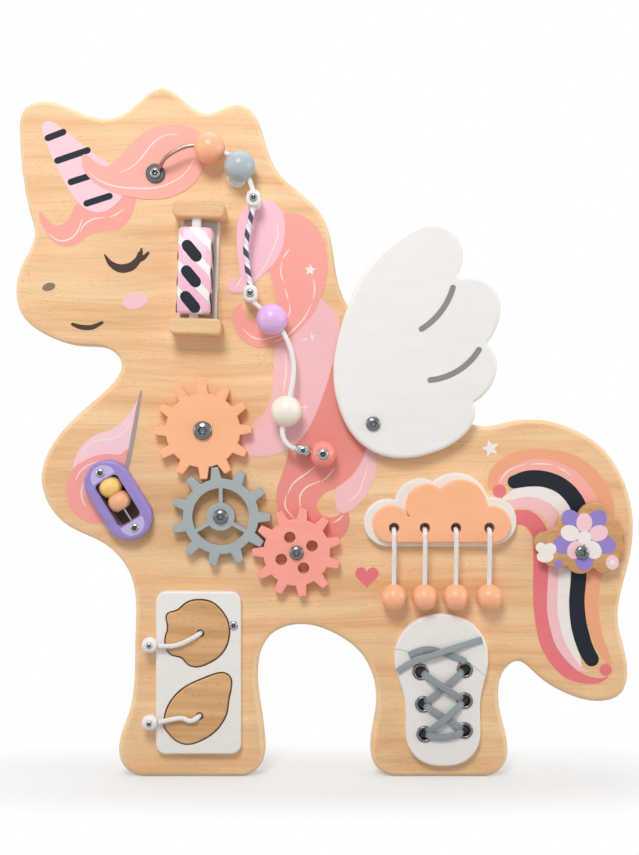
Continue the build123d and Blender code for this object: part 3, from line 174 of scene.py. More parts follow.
@dataclass(frozen=True)
class OiledBeech(Finish):
    """European beech, sanded fine and oiled: pale, close grain with short darker ray flecks, no gloss."""

    pale: str
    mid: str
    dark: str
    fleck: str
    grain: Grain = Grain.ACROSS
    figure: float = 13.0        # width of a growth band
    fleck_size: Point = (7.0, 1.5)      # room of one ray fleck; the fleck takes a third of it
    edge_highlight: str = ""       # painted highlight: the rounded edges are mixed towards this lighter colour, where light would catch them

    def paint(self, tree: bpy.types.NodeTree, shader: bpy.types.Node) -> None:
        """Lay growth bands, fibres and ray flecks, and a slight relief along the fibres."""
        bend = add(tree, "ShaderNodeTexNoise", {"Scale": 1.0, "Detail": 1.0},
                   {"Vector": self.place(tree, self.grain.stretch(150, 70))})
        bent = add(tree, "ShaderNodeVectorMath", {"operation": "MULTIPLY_ADD", 1: (0.02, 0.02, 0.02)},
                   {0: bend.outputs["Color"], 2: add(tree, "ShaderNodeTexCoord").outputs["Object"]})
        lie = add(tree, "ShaderNodeMapping", {"Scale": self.grain.stretch(190, self.figure)},
                  {"Vector": bent.outputs[0]})
        bands = add(tree, "ShaderNodeTexNoise", {"Scale": 1.0, "Detail": 3.0, "Roughness": 0.5},
                    {"Vector": lie.outputs[0]})
        tone = add(tree, "ShaderNodeValToRGB", links={"Fac": bands.outputs["Fac"]})
        ramp = tone.color_ramp
        ramp.elements[0].position, ramp.elements[0].color = 0.3, linear(self.dark)
        ramp.elements[1].position, ramp.elements[1].color = 0.68, linear(self.pale)
        ramp.elements.new(0.47).color = linear(self.mid)
        fibre = add(tree, "ShaderNodeTexNoise", {"Scale": 1.0, "Detail": 3.0},
                    {"Vector": self.place(tree, self.grain.stretch(24, 0.8))})
        fibre_tone = add(tree, "ShaderNodeMapRange", {"From Min": 0.35, "From Max": 0.65, "To Min": 0.965,
                                                      "To Max": 1.025}, {"Value": fibre.outputs["Fac"]})
        rings = add(tree, "ShaderNodeTexNoise", {"Scale": 1.0, "Detail": 2.0},
                    {"Vector": add(tree, "ShaderNodeMapping", {"Scale": self.grain.stretch(120, 1.9)},
                                   {"Vector": bent.outputs[0]}).outputs[0]})
        ring_tone = add(tree, "ShaderNodeMapRange", {"From Min": 0.48, "From Max": 0.74, "To Min": 1.01,
                                                     "To Max": 0.90}, {"Value": rings.outputs["Fac"]})
        lined = add(tree, "ShaderNodeMath", {"operation": "MULTIPLY"},
                    {0: fibre_tone.outputs[0], 1: ring_tone.outputs[0]})
        woven = add(tree, "ShaderNodeVectorMath", {"operation": "SCALE"},
                    {0: tone.outputs["Color"], "Scale": lined.outputs[0]})
        flecks = add(tree, "ShaderNodeTexVoronoi", {"Scale": 1.0, "Randomness": 1.0},
                     {"Vector": self.place(tree, self.grain.stretch(*self.fleck_size))})
        spot = add(tree, "ShaderNodeMapRange", {"From Min": 0.10, "From Max": 0.28, "To Min": 0.65,
                                                "To Max": 0.0}, {"Value": flecks.outputs["Distance"]})
        patchy = add(tree, "ShaderNodeTexNoise", {"Scale": 1.0, "Detail": 2.0},
                     {"Vector": self.place(tree, self.grain.stretch(30, 9))})
        where = add(tree, "ShaderNodeMapRange", {"From Min": 0.40, "From Max": 0.62},
                    {"Value": patchy.outputs["Fac"]})
        amount = add(tree, "ShaderNodeMath", {"operation": "MULTIPLY"},
                     {0: spot.outputs[0], 1: where.outputs[0]})
        wood = add(tree, "ShaderNodeMix", {"data_type": "RGBA", 7: linear(self.fleck)},
                   {0: amount.outputs[0], 6: woven.outputs[0]})
        # painted highlight: where the surface turns away from the front, on the rounded edges, the wood is
        # lightened
        if self.edge_highlight:
            facing = add(tree, "ShaderNodeSeparateXYZ",
                         links={0: add(tree, "ShaderNodeTexCoord").outputs["Normal"]})
            flat = add(tree, "ShaderNodeMath", {"operation": "ABSOLUTE"}, {0: facing.outputs["Y"]})
            bare = add(tree, "ShaderNodeMapRange", {"From Min": 0.985, "From Max": 0.93, "To Max": 0.45},
                       {"Value": flat.outputs[0]})
            wood = add(tree, "ShaderNodeMix", {"data_type": "RGBA", 7: linear(self.edge_highlight)},
                       {0: bare.outputs[0], 6: wood.outputs[2]})
        tree.links.new(wood.outputs[2], shader.inputs["Base Color"])
        rough = add(tree, "ShaderNodeMapRange", {"To Min": 0.46, "To Max": 0.62},
                    {"Value": fibre.outputs["Fac"]})
        tree.links.new(rough.outputs[0], shader.inputs["Roughness"])
        relief = add(tree, "ShaderNodeBump", {"Strength": 0.25, "Distance": 0.04 * MM},
                     {"Height": fibre.outputs["Fac"]})
        tree.links.new(relief.outputs[0], shader.inputs["Normal"])


@dataclass(frozen=True)
class SatinLacquer(Finish):
    """Water-based satin lacquer, sprayed on sanded wood: even colour, soft sheen, a trace of grain."""

    colour: str
    shade: str                  # the colour where the coat is thinner
    rough: float = 0.38
    grain: Grain = Grain.ACROSS

    def paint(self, tree: bpy.types.NodeTree, shader: bpy.types.Node) -> None:
        """Lay a cloudy coat, the spray's fine texture and the grain that telegraphs through."""
        cloudy = add(tree, "ShaderNodeTexNoise", {"Scale": 1.0, "Detail": 3.0},
                     {"Vector": self.place(tree, self.grain.stretch(28, 6))})
        thin = add(tree, "ShaderNodeMapRange", {"From Min": 0.35, "From Max": 0.75, "To Max": 0.55},
                   {"Value": cloudy.outputs["Fac"]})
        coat = add(tree, "ShaderNodeMix", {"data_type": "RGBA", 6: linear(self.colour),
                                           7: linear(self.shade)}, {0: thin.outputs[0]})
        tree.links.new(coat.outputs[2], shader.inputs["Base Color"])
        # spray texture of 0.9 mm, drawn a little coarser than real so that it shows
        spray = add(tree, "ShaderNodeTexNoise", {"Scale": 1.0, "Detail": 2.0},
                    {"Vector": self.place(tree, [per_mm(0.9)] * 3)})
        rough = add(tree, "ShaderNodeMapRange", {"To Min": self.rough - 0.06, "To Max": self.rough + 0.08},
                    {"Value": spray.outputs["Fac"]})
        tree.links.new(rough.outputs[0], shader.inputs["Roughness"])
        fibre = add(tree, "ShaderNodeTexNoise", {"Scale": 1.0, "Detail": 2.0},
                    {"Vector": self.place(tree, self.grain.stretch(16, 0.9))})
        both = add(tree, "ShaderNodeMath", {"operation": "MULTIPLY_ADD", 1: 0.5},
                   {0: fibre.outputs["Fac"], 2: spray.outputs["Fac"]})
        relief = add(tree, "ShaderNodeBump", {"Strength": 0.3, "Distance": 0.03 * MM},
                     {"Height": both.outputs[0]})
        tree.links.new(relief.outputs[0], shader.inputs["Normal"])
        shader.inputs["IOR"].default_value = 1.48


@dataclass(frozen=True)
class PrintInk(Finish):
    """Screen-printed ink on bare beech: flat and matt, a little thinner where the fibres stand up."""

    colour: str
    through: str                # the colour where wood shines through

    def paint(self, tree: bpy.types.NodeTree, shader: bpy.types.Node) -> None:
        """Lay fibre-shaped thin places in a flat colour."""
        fibre = add(tree, "ShaderNodeTexNoise", {"Scale": 1.0, "Detail": 4.0},
                    {"Vector": self.place(tree, Grain.ACROSS.stretch(26, 1.3))})
        cloud = add(tree, "ShaderNodeTexNoise", {"Scale": 1.0, "Detail": 1.0},
                    {"Vector": self.place(tree, Grain.ACROSS.stretch(60, 22))})
        both = add(tree, "ShaderNodeMath", {"operation": "MULTIPLY"},
                   {0: fibre.outputs["Fac"], 1: cloud.outputs["Fac"]})
        thin = add(tree, "ShaderNodeMapRange", {"From Min": 0.18, "From Max": 0.42, "To Max": 0.6},
                   {"Value": both.outputs[0]})
        ink = add(tree, "ShaderNodeMix", {"data_type": "RGBA", 6: linear(self.colour),
                                          7: linear(self.through)}, {0: thin.outputs[0]})
        tree.links.new(ink.outputs[2], shader.inputs["Base Color"])
        rough = add(tree, "ShaderNodeMapRange", {"To Min": 0.48, "To Max": 0.64},
                    {"Value": fibre.outputs["Fac"]})
        tree.links.new(rough.outputs[0], shader.inputs["Roughness"])
        relief = add(tree, "ShaderNodeBump", {"Strength": 0.2, "Distance": 0.03 * MM},
                     {"Height": fibre.outputs["Fac"]})
        tree.links.new(relief.outputs[0], shader.inputs["Normal"])
        shader.inputs["Specular IOR Level"].default_value = 0.25


@dataclass(frozen=True)
class PlatedSteel(Finish):
    """Steel with a bright nickel or bronze plate: sharp reflections with faint handling marks."""

    colour: str
    rough: float = 0.2

    def paint(self, tree: bpy.types.NodeTree, shader: bpy.types.Node) -> None:
        """Lay cloudy brightness and fine marks in a metal."""
        marks = add(tree, "ShaderNodeTexNoise", {"Scale": 1.0, "Detail": 4.0},
                    {"Vector": self.place(tree, [per_mm(1.6)] * 3)})
        tint = add(tree, "ShaderNodeMix", {"data_type": "RGBA", 6: linear(self.colour),
                                           7: tuple(0.9 * c for c in linear(self.colour)[:3]) + (1.0,)},
                   {0: marks.outputs["Fac"]})
        tree.links.new(tint.outputs[2], shader.inputs["Base Color"])
        rough = add(tree, "ShaderNodeMapRange", {"To Min": self.rough - 0.03, "To Max": self.rough + 0.05},
                    {"Value": marks.outputs["Fac"]})
        tree.links.new(rough.outputs[0], shader.inputs["Roughness"])
        shader.inputs["Metallic"].default_value = 1.0


@dataclass(frozen=True)
class MouldedPlastic(Finish):
    """Injection-moulded nylon, acrylic or polythene: even, with a fine moulding texture."""

    colour: str
    rough: float = 0.35
    clear: float = 0.0          # share of light that goes through

    def paint(self, tree: bpy.types.NodeTree, shader: bpy.types.Node) -> None:
        """Lay an even colour with slight clouds and a fine moulding texture."""
        skin = add(tree, "ShaderNodeTexNoise", {"Scale": 1.0, "Detail": 3.0},
                   {"Vector": self.place(tree, [per_mm(0.7)] * 3)})
        wide = add(tree, "ShaderNodeTexNoise", {"Scale": 1.0, "Detail": 1.0},
                   {"Vector": self.place(tree, [per_mm(14)] * 3)})
        tint = add(tree, "ShaderNodeMix", {"data_type": "RGBA", 6: linear(self.colour),
                                           7: tuple(0.88 * c for c in linear(self.colour)[:3]) + (1.0,)},
                   {0: wide.outputs["Fac"]})
        tree.links.new(tint.outputs[2], shader.inputs["Base Color"])
        rough = add(tree, "ShaderNodeMapRange", {"To Min": self.rough - 0.05, "To Max": self.rough + 0.08},
                    {"Value": skin.outputs["Fac"]})
        tree.links.new(rough.outputs[0], shader.inputs["Roughness"])
        relief = add(tree, "ShaderNodeBump", {"Strength": 0.15, "Distance": 0.02 * MM},
                     {"Height": skin.outputs["Fac"]})
        tree.links.new(relief.outputs[0], shader.inputs["Normal"])
        shader.inputs["Transmission Weight"].default_value = self.clear


@dataclass(frozen=True)
class BraidedYarn(Finish):
    """Braided polyester: matt yarn with a soft sheen, with painted shade between the strands."""

    colour: str
    # painted shade: the darker colour between the strands
    groove: str
    rib: float = 1.0            # mm between yarns along the cord

    def paint(self, tree: bpy.types.NodeTree, shader: bpy.types.Node) -> None:
        """Lay crossing yarns along the cord's own length and fine fibres over them."""
        cross = []
        for side in (1, -1):
            lie = add(tree, "ShaderNodeMapping", {"Rotation": (0, 0, side * math.radians(38))},
                      {"Vector": self.place(tree, (1, 1, 1), Pattern.WRAP)})
            cross.append(add(tree, "ShaderNodeTexWave", {"Scale": 1.6 / self.rib, "Distortion": 0.4,
                                                         "Detail": 1.0}, {"Vector": lie.outputs[0]}))
        weave = add(tree, "ShaderNodeMath", {"operation": "MAXIMUM"},
                    {0: cross[0].outputs["Fac"], 1: cross[1].outputs["Fac"]})
        fibres = add(tree, "ShaderNodeTexNoise", {"Scale": 1.0, "Detail": 3.0},
                     {"Vector": self.place(tree, [per_mm(0.35)] * 3)})
        height = add(tree, "ShaderNodeMath", {"operation": "MULTIPLY_ADD", 1: 0.35},
                     {0: fibres.outputs["Fac"], 2: weave.outputs[0]})
        depth = add(tree, "ShaderNodeMapRange", {"From Min": 0.45, "From Max": 1.0},
                    {"Value": height.outputs[0]})
        # painted shade: the low places between the yarns take the darker colour
        tint = add(tree, "ShaderNodeMix", {"data_type": "RGBA", 6: linear(self.groove),
                                           7: linear(self.colour)}, {0: depth.outputs[0]})
        tree.links.new(tint.outputs[2], shader.inputs["Base Color"])
        relief = add(tree, "ShaderNodeBump", {"Strength": 0.6, "Distance": 0.12 * MM},
                     {"Height": height.outputs[0]})
        tree.links.new(relief.outputs[0], shader.inputs["Normal"])
        shader.inputs["Roughness"].default_value = 0.82
        shader.inputs["Sheen Weight"].default_value = 0.25
        shader.inputs["Sheen Roughness"].default_value = 0.4


@dataclass(frozen=True)
class HelicalStripes(Finish):
    """A wrap with slanting bands of colour: smooth printed film, or coloured yarn with a matt rib."""

    colours: tuple[str, ...]
    edges: tuple[float, ...]    # where each colour starts, as a share of the repeat
    turns: float                # repeats around the wrap
    rough: float = 0.45
    woven: float = 0.0          # strength of the yarn relief

    def paint(self, tree: bpy.types.NodeTree, shader: bpy.types.Node) -> None:
        """Lay bands that climb as they go round, from the wrap's own coordinates."""
        parts = add(tree, "ShaderNodeSeparateXYZ",
                    links={"Vector": self.place(tree, (1, 1, 1), Pattern.WRAP)})
        slant = add(tree, "ShaderNodeMath", {"operation": "MULTIPLY_ADD", 1: self.turns},
                    {0: parts.outputs["Y"], 2: parts.outputs["X"]})
        share = add(tree, "ShaderNodeMath", {"operation": "FRACT"}, {0: slant.outputs[0]})
        bands = add(tree, "ShaderNodeValToRGB", links={"Fac": share.outputs[0]})
        ramp = bands.color_ramp
        ramp.interpolation = "CONSTANT"
        ramp.elements[0].position, ramp.elements[0].color = self.edges[0], linear(self.colours[0])
        ramp.elements[1].position, ramp.elements[1].color = self.edges[1], linear(self.colours[1])
        for edge, colour in zip(self.edges[2:], self.colours[2:]):
            ramp.elements.new(edge).color = linear(colour)
        film = add(tree, "ShaderNodeTexNoise", {"Scale": 1.0, "Detail": 3.0},
                   {"Vector": self.place(tree, [per_mm(0.5 if self.woven else 2.5)] * 3)})
        shade = add(tree, "ShaderNodeMapRange", {"To Min": 0.9, "To Max": 1.05},
                    {"Value": film.outputs["Fac"]})
        toned = add(tree, "ShaderNodeVectorMath", {"operation": "SCALE"},
                    {0: bands.outputs["Color"], "Scale": shade.outputs[0]})
        tree.links.new(toned.outputs[0], shader.inputs["Base Color"])
        rough = add(tree, "ShaderNodeMapRange", {"To Min": self.rough - 0.05, "To Max": self.rough + 0.1},
                    {"Value": film.outputs["Fac"]})
        tree.links.new(rough.outputs[0], shader.inputs["Roughness"])
        relief = add(tree, "ShaderNodeBump", {"Strength": 0.15 + 0.5 * self.woven, "Distance": 0.05 * MM},
                     {"Height": film.outputs["Fac"]})
        tree.links.new(relief.outputs[0], shader.inputs["Normal"])


BEECH_BOARD = OiledBeech("oiled_beech_board", "#F6D0A3", "#EEC192", "#E3B27E", "#BC8A58",
                         fleck_size=(5.0, 0.85), edge_highlight="#F8D9B0")
BEECH_BLOCK = OiledBeech("oiled_beech_block", "#EBC497", "#E0B585", "#D0A06E", "#A5754A", figure=7.0,
                         fleck_size=(5.0, 1.3))
BEECH_PIECE = OiledBeech("oiled_beech_puzzle_piece", "#E0B684", "#D6A774", "#C6945F", "#9B6A3F", figure=9.0,
                         fleck_size=(6.0, 1.4))
# painted shade: dark beech tones for the shaded pocket behind the slider
BEECH_SHADE = OiledBeech("painted_shade_pocket", "#6E4E34", "#5E402A", "#4A311F", "#382416", figure=6.0)
BEECH_TAN = OiledBeech("oiled_beech_spinner", "#D6A674", "#CC9A66", "#C28E5A", "#9C6F44", figure=9.0,
                       fleck_size=(5.0, 1.2))
WHITE = SatinLacquer("satin_lacquer_white", "#EFECE8", "#E9E5E0", 0.4)
PEACH = SatinLacquer("satin_lacquer_peach", "#FEBA8F", "#F9B186")
PEACH_BEAD = SatinLacquer("satin_lacquer_peach_bead", "#FCB78E", "#F7AD83", 0.32)
GREY = SatinLacquer("satin_lacquer_grey", "#A7AFB0", "#9CA5A7", 0.42)
GREY_BEAD = SatinLacquer("satin_lacquer_grey_bead", "#B0BCC3", "#A5B1B8", 0.3)
CORAL = SatinLacquer("satin_lacquer_coral", "#FDA598", "#F79C8F")
CORAL_KNOB = SatinLacquer("satin_lacquer_coral_knob", "#F8978B", "#F28C80", 0.3)
LILAC = SatinLacquer("satin_lacquer_lilac", "#9A86C6", "#8F7CBC", 0.33)
LAVENDER = SatinLacquer("satin_lacquer_lavender", "#C6B6E4", "#BCABDC", 0.35)
VIOLET_BEAD = SatinLacquer("satin_lacquer_violet_bead", "#E3B7EC", "#DBACE5", 0.3)
CREAM_BEAD = SatinLacquer("satin_lacquer_cream_bead", "#F3EDDF", "#EDE5D3", 0.32)
YELLOW_BEAD = SatinLacquer("satin_lacquer_yellow_bead", "#F6CC74", "#EFC36A", 0.36)
SAND_BEAD = SatinLacquer("satin_lacquer_sand_bead", "#EFB088", "#E8A67C", 0.36)
NICKEL = PlatedSteel("nickel_plate", "#A6A7A9", 0.24)
DARK_NICKEL = PlatedSteel("black_nickel_plate", "#747578", 0.22)
BRONZE = PlatedSteel("bronze_plate", "#A98D80", 0.34)
# painted shade: a near-black colour for screw recesses, the rings in the cord holes and the eyelets' insides
SHADOW = MouldedPlastic("painted_recess_shade", "#2B2725", 0.7)
WASHER = MouldedPlastic("nylon_dark_grey", "#4B4F52", 0.4)
NYLON = MouldedPlastic("nylon_white", "#E8E7E2", 0.4)
SLEEVE = MouldedPlastic("polythene_sleeve_white", "#EFEEED", 0.25)
MILKY = MouldedPlastic("acrylic_milky", "#F1EBE2", 0.22)
# each cord's second colour is painted shade between its strands
CORD = BraidedYarn("braided_polyester_white", "#FAF9F7", "#DCDAD6", 1.1)
LACE = BraidedYarn("braided_lace_grey", "#A3AEB4", "#59636A", 1.5)
LACE_TIP = BraidedYarn("braided_lace_tip", "#A6AFB4", "#7A848B", 1.8)
SLEEVE_STRIPES = HelicalStripes("woven_sleeve_striped", ("#F4F1F4", "#39415A", "#F1E9EF", "#EFD3E1"),
                                (0.0, 0.24, 0.68, 0.84), -1.0, 0.6)
CANDY_STRIPES = HelicalStripes("printed_film_candy", ("#F9C0D3", "#FAF6F3"), (0.0, 0.6), -4.0, 0.34)
# painted shade: grey for lines of shade along the shoe's seams
SEAM_SHADE = PrintInk("seam_shadow", "#CFCBC5", "#C9C4BD")
GROOVE_GREY = PrintInk("groove_paint_grey", "#8E8B8A", "#858281")
INK_CORAL = PrintInk("print_coral", "#FAA79C", "#F5AA9D")
INK_SALMON = PrintInk("print_salmon", "#FCB2A6", "#FAB5A8")
INK_PINK = PrintInk("print_pink", "#FACFD8", "#F5CBD0")
INK_ORCHID = PrintInk("print_orchid", "#FAC6D5", "#F6C2CC")
INK_SHELL = PrintInk("print_shell", "#F9C6CA", "#F5C4C3")
INK_CHEEK = PrintInk("print_cheek", "#FAC9D1", "#F6C9CB")
INK_BLUSH = PrintInk("print_blush", "#F6C3C7", "#F3C0BF")
INK_TEAROSE = PrintInk("print_tea_rose", "#EC938A", "#EA9A8D")
INK_ROSE = PrintInk("print_rose", "#EC7A82", "#E98484")
INK_PEACH = PrintInk("print_peach", "#F3AA85", "#EFAA84")
INK_CREAM = PrintInk("print_cream", "#F5EEEA", "#F0E6DC")
INK_LIGHT = PrintInk("print_fine_light", "#FBE3DF", "#F8DDD6")
INK_NAVY = PrintInk("print_navy", "#111826", "#191F2C")
INK_BROWN = PrintInk("print_brown", "#46332C", "#4E3A31")
INK_UMBER = PrintInk("print_umber", "#8F7664", "#93785F")
INK_MAUVE = PrintInk("print_mauve", "#A79A9C", "#AB9B97")
INK_VIOLET = PrintInk("print_violet", "#9783CF", "#9E8BC8")


# ---------------------------------------------------------------- shapes

def at(x: float, z: float, height: float) -> Vector:
    """Return the point, in metres, at `height` in front of the board's face."""
    return Vector((x, BOARD_FACE - height, z)) * MM


def turned(place: Point, centre: Point, degrees: float) -> Point:
    """Turn a point given from `centre` by an angle, and return where it lands."""
    c, s = math.cos(math.radians(degrees)), math.sin(math.radians(degrees))
    return (centre[0] + place[0] * c - place[1] * s, centre[1] + place[0] * s + place[1] * c)


def through(points: Sequence[Sequence[float]], closed: bool, steps: int = 8) -> list[tuple[float, ...]]:
    """Return a smooth line through points.

    Args:
        points: the points, of two or more numbers each.
        closed: whether the line comes back to its start.
        steps: places on the line from one point to the next.

    Returns:
        Places along a Catmull-Rom line.
    """
    count = len(points)
    line = []
    for i in range(count if closed else count - 1):
        if closed:
            quad = [points[(i + k) % count] for k in (-1, 0, 1, 2)]
        else:
            quad = [points[min(max(i + k, 0), count - 1)] for k in (-1, 0, 1, 2)]
        for step in range(steps):
            t = step / steps
            line.append(tuple(
                0.5 * (2 * b + (c - a) * t + (2 * a - 5 * b + 4 * c - d) * t**2
                       + (3 * b - a - 3 * c + d) * t**3)
                for a, b, c, d in zip(*quad)))
    if not closed:
        line.append(tuple(points[-1]))
    return line


def stroke(points: Sequence[Sequence[float]], steps: int = 8, ends: int = 5) -> Outline:
    """Return the outline of a brush stroke.

    Args:
        points: x, z and full width at places along the stroke.
        steps: places on the line from one point to the next.
        ends: points of each rounded end.

    Returns:
        A closed outline with round ends.
    """
    line = through(points, False, steps)
    left, right = [], []
    for i, (x, z, width) in enumerate(line):
        before, after = line[max(i - 1, 0)], line[min(i + 1, len(line) - 1)]
        run, rise = after[0] - before[0], after[1] - before[1]
        size = math.hypot(run, rise) or 1.0
        nx, nz = -rise / size * width / 2, run / size * width / 2
        left.append((x + nx, z + nz))
        right.append((x - nx, z - nz))
    caps = []
    for (x, z, _), edge in ((line[-1], left[-1]), (line[0], right[0])):
        dx, dz = edge[0] - x, edge[1] - z
        caps.append([turned((dx, dz), (x, z), -180 * k / (ends + 1)) for k in range(1, ends + 1)])
    return left + caps[0] + right[::-1] + caps[1]


def ellipse(centre: Point, width: float, height: float, lean: float = 0.0, count: int = 28) -> Outline:
    """Return an ellipse's outline, leaning by an angle in degrees."""
    return [turned((width / 2 * math.cos(math.tau * i / count), height / 2 * math.sin(math.tau * i / count)),
                   centre, lean) for i in range(count)]


def make_piece(name: str, verts: Iterable[Vector], faces: Iterable[Sequence[int]], finish: Finish,
               body: str | None = ROOT, smooth: float = 40.0,
               uvs: Callable[[int], Point] | None = None) -> bpy.types.Object:
    """Make a mesh object in the shared frame.

    Args:
        name: the piece's name.
        verts: corners in metres.
        faces: indices of each face's corners.
        finish: its surface.
        body: what it moves with, or None where it is set later.
        smooth: faces that meet at less than this many degrees are shaded as one.
        uvs: coordinates of each corner by its number, if the finish needs them.

    Returns:
        The object.
    """
    mesh = bpy.data.meshes.new(name)
    mesh.from_pydata([tuple(v) for v in verts], [], [tuple(f) for f in faces])
    mesh.validate()
    if uvs:
        layer = mesh.uv_layers.new(name="wrap")
        for loop in mesh.loops:
            layer.data[loop.index].uv = uvs(loop.vertex_index)
    mesh.materials.append(finish.material())
    mesh.shade_smooth()
    mesh.set_sharp_from_angle(angle=math.radians(smooth))
    piece = bpy.data.objects.new(name, mesh)
    bpy.context.scene.collection.objects.link(piece)
    if body:
        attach(piece, body)
    return piece


def slab(name: str, outline: Outline, low: float, high: float, finish: Finish, body: str = ROOT,
         soften: float = 0.0) -> bpy.types.Object:
    """Make a flat shape on or in front of the board's face.

    Args:
        name: the piece's name.
        outline: its closed outline.
        low: height of its rear.
        high: height of its front.
        finish: its surface.
        body: what it moves with.
        soften: how far the front edge is rounded off.

    Returns:
        The object.
    """
    count = len(outline)
    rings = [(low, 0.0), (high - soften, 0.0)] + ([(high, soften)] if soften else [])
    middle = [sum(p[k] for p in outline) / count for k in (0, 1)]
    reach = max(math.hypot(x - middle[0], z - middle[1]) for x, z in outline)
    verts = []
    for height, inward in rings:
        scale = 1 - inward / reach
        verts += [at(middle[0] + (x - middle[0]) * scale, middle[1] + (z - middle[1]) * scale, height)
                  for x, z in outline]
    faces = [list(range(count)), [len(verts) - 1 - i for i in range(count)]]
    for ring in range(len(rings) - 1):
        base = ring * count
        faces += [(base + i, base + count + i, base + count + (i + 1) % count, base + (i + 1) % count)
                  for i in range(count)]
    return make_piece(name, verts, faces, finish, body, 25.0)


def tube_faces(rows: int, around: int, ends: bool = True) -> list[tuple[int, ...]]:
    """Return the faces that join rings of corners.

    Args:
        rows: how many rings follow each other.
        around: corners in each ring.
        ends: whether a face closes the first ring and the last.

    Returns:
        The numbers of each face's corners.
    """
    faces = [(r * around + k, r * around + (k + 1) % around, (r + 1) * around + (k + 1) % around,
              (r + 1) * around + k) for r in range(rows - 1) for k in range(around)]
    if ends:
        faces += [tuple(range(around - 1, -1, -1)), tuple(range((rows - 1) * around, rows * around))]
    return faces


def lathe(profile: Sequence[Point], centre: Vector, axis: Vector, segments: int = 48
          ) -> tuple[list[Vector], list[tuple[int, ...]]]:
    """Turn a profile about an axis.

    Args:
        profile: radius and distance along the axis, in millimetres.
        centre: where the axis starts, in metres.
        axis: the axis's direction.
        segments: faces around.

    Returns:
        Corners in metres, and faces.
    """
    axis = axis.normalized()
    side = axis.orthogonal().normalized()
    other = axis.cross(side)
    verts = [centre + (axis * along + (side * math.cos(a) + other * math.sin(a)) * radius) * MM
             for radius, along in profile for a in (math.tau * k / segments for k in range(segments))]
    return verts, tube_faces(len(profile), segments, ends=False)


def dress(finish: Finish, *nodes: str) -> None:
    """Give ready-made solids their finish."""
    for node in nodes:
        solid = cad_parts[node]
        if not solid.material_slots:
            solid.data.materials.append(None)
        for place in solid.material_slots:
            place.material = finish.material()
        log.info("dressed %s with %s", node, finish.name)


# ---------------------------------------------------------------- printed decoration

@dataclass(frozen=True)
class Print:
    """One printed shape: its outline, its layer above the wood and its ink."""

    name: str
    outline: Outline
    layer: float
    ink: Finish

    def build(self, body: str = ROOT, seat: float = 0.0) -> bpy.types.Object:
        """Make the shape on the board, or on a piece whose front is at `seat`."""
        return slab(self.name, self.outline, seat - PRINT_SINK, seat + self.layer * INK, self.ink, body)


@dataclass
class SleepingFace:
    """The animal's closed eye, nostril, cheek and smile."""

    eye: tuple = ((-142.8, 339.4, 1.0), (-139.0, 333.8, 3.6), (-132.8, 330.6, 5.4), (-125.8, 331.8, 5.6),
                  (-121.4, 336.2, 4.2), (-120.2, 340.4, 2.4))
    lashes: tuple = (((-120.4, 336.4, 3.2), (-117.6, 337.6, 3.0), (-114.6, 340.6, 1.8)),
                     ((-120.4, 336.0, 3.2), (-119.4, 339.6, 2.6), (-119.0, 343.2, 1.4)))
    cheek: tuple = ((-123.2, 309.6), 16.4, 10.4, 12.0)
    nostril: tuple = ((-179.2, 318.6), 8.6, 5.2, 16.0)
    smile: tuple = ((-163.7, 294.3, 2.2), (-158.0, 292.4, 3.2), (-151.0, 292.4, 3.2), (-144.5, 295.4, 2.0))

    def build(self) -> None:
        """Print the face."""
        Print("face_eye", stroke(self.eye), 1, INK_BROWN).build()
        for number, lash in enumerate(self.lashes, 1):
            Print(f"face_lash_{number}", stroke(lash), 1 + number, INK_BROWN).build()
        Print("face_cheek", ellipse(*self.cheek), 1, INK_CHEEK).build()
        Print("face_nostril", ellipse(*self.nostril), 1, INK_UMBER).build()
        Print("face_smile", stroke(self.smile), 1, INK_BROWN).build()


@dataclass(frozen=True)
class Lock:
    """One lock of hair: the control points of its edge, and fine pale lines drawn along it."""

    name: str
    ink: Finish
    layer: int                  # the lines lie half a layer higher
    edge: Outline
    lights: tuple[Outline, ...] = ()
    light_width: float = 1.0
    light_ends: float = 0.4     # width of a line's ends, as a share

    def build(self) -> None:
        """Print the lock and its lines, thin towards both ends."""
        Print(self.name, through(self.edge, True, 5), self.layer, self.ink).build()
        for number, points in enumerate(self.lights, 1):
            last = len(points) - 1
            line = [(x, z, self.light_width * (self.light_ends
                                               + (1 - self.light_ends) * math.sin(math.pi * k / last)))
                    for k, (x, z) in enumerate(points)]
            Print(f"{self.name}_light_{number}", stroke(line, 5, 3), self.layer + 0.5, INK_LIGHT).build()


@dataclass
class Horn:
    """A pale cone with slanting bars, growing from the brow between the two forelocks."""

    cone: Outline = ((-179.4, 426.4), (-173.3, 423.8), (-161.2, 414.1), (-148.2, 404.3), (-141.7, 399.7),
                     (-134.8, 393.2), (-130.1, 384.8), (-131.5, 377.4), (-136.2, 371.8), (-141.7, 368.1),
                     (-148.2, 367.0), (-154.7, 369.0), (-160.3, 373.7), (-165.9, 381.1), (-171.5, 391.3),
                     (-176.1, 400.6), (-180.7, 411.8), (-183.3, 419.2), (-183.1, 424.6))
    bars: tuple = (((-179.8, 415.3), (-169.8, 419.2)), ((-173.6, 400.6), (-154.0, 407.3)),
                   ((-164.8, 386.7), (-149.0, 391.8)), ((-154.6, 372.8), (-139.7, 377.6)))
    bar_width: float = 4.2

    def build(self) -> None:
        """Print the cone and its bars."""
        Print("horn_cone", through(self.cone, True, 5), 2, INK_PINK).build()
        for number, ends in enumerate(self.bars, 1):
            Print(f"horn_bar_{number}", stroke([(*end, self.bar_width) for end in ends], 2), 3,
                  INK_NAVY).build()


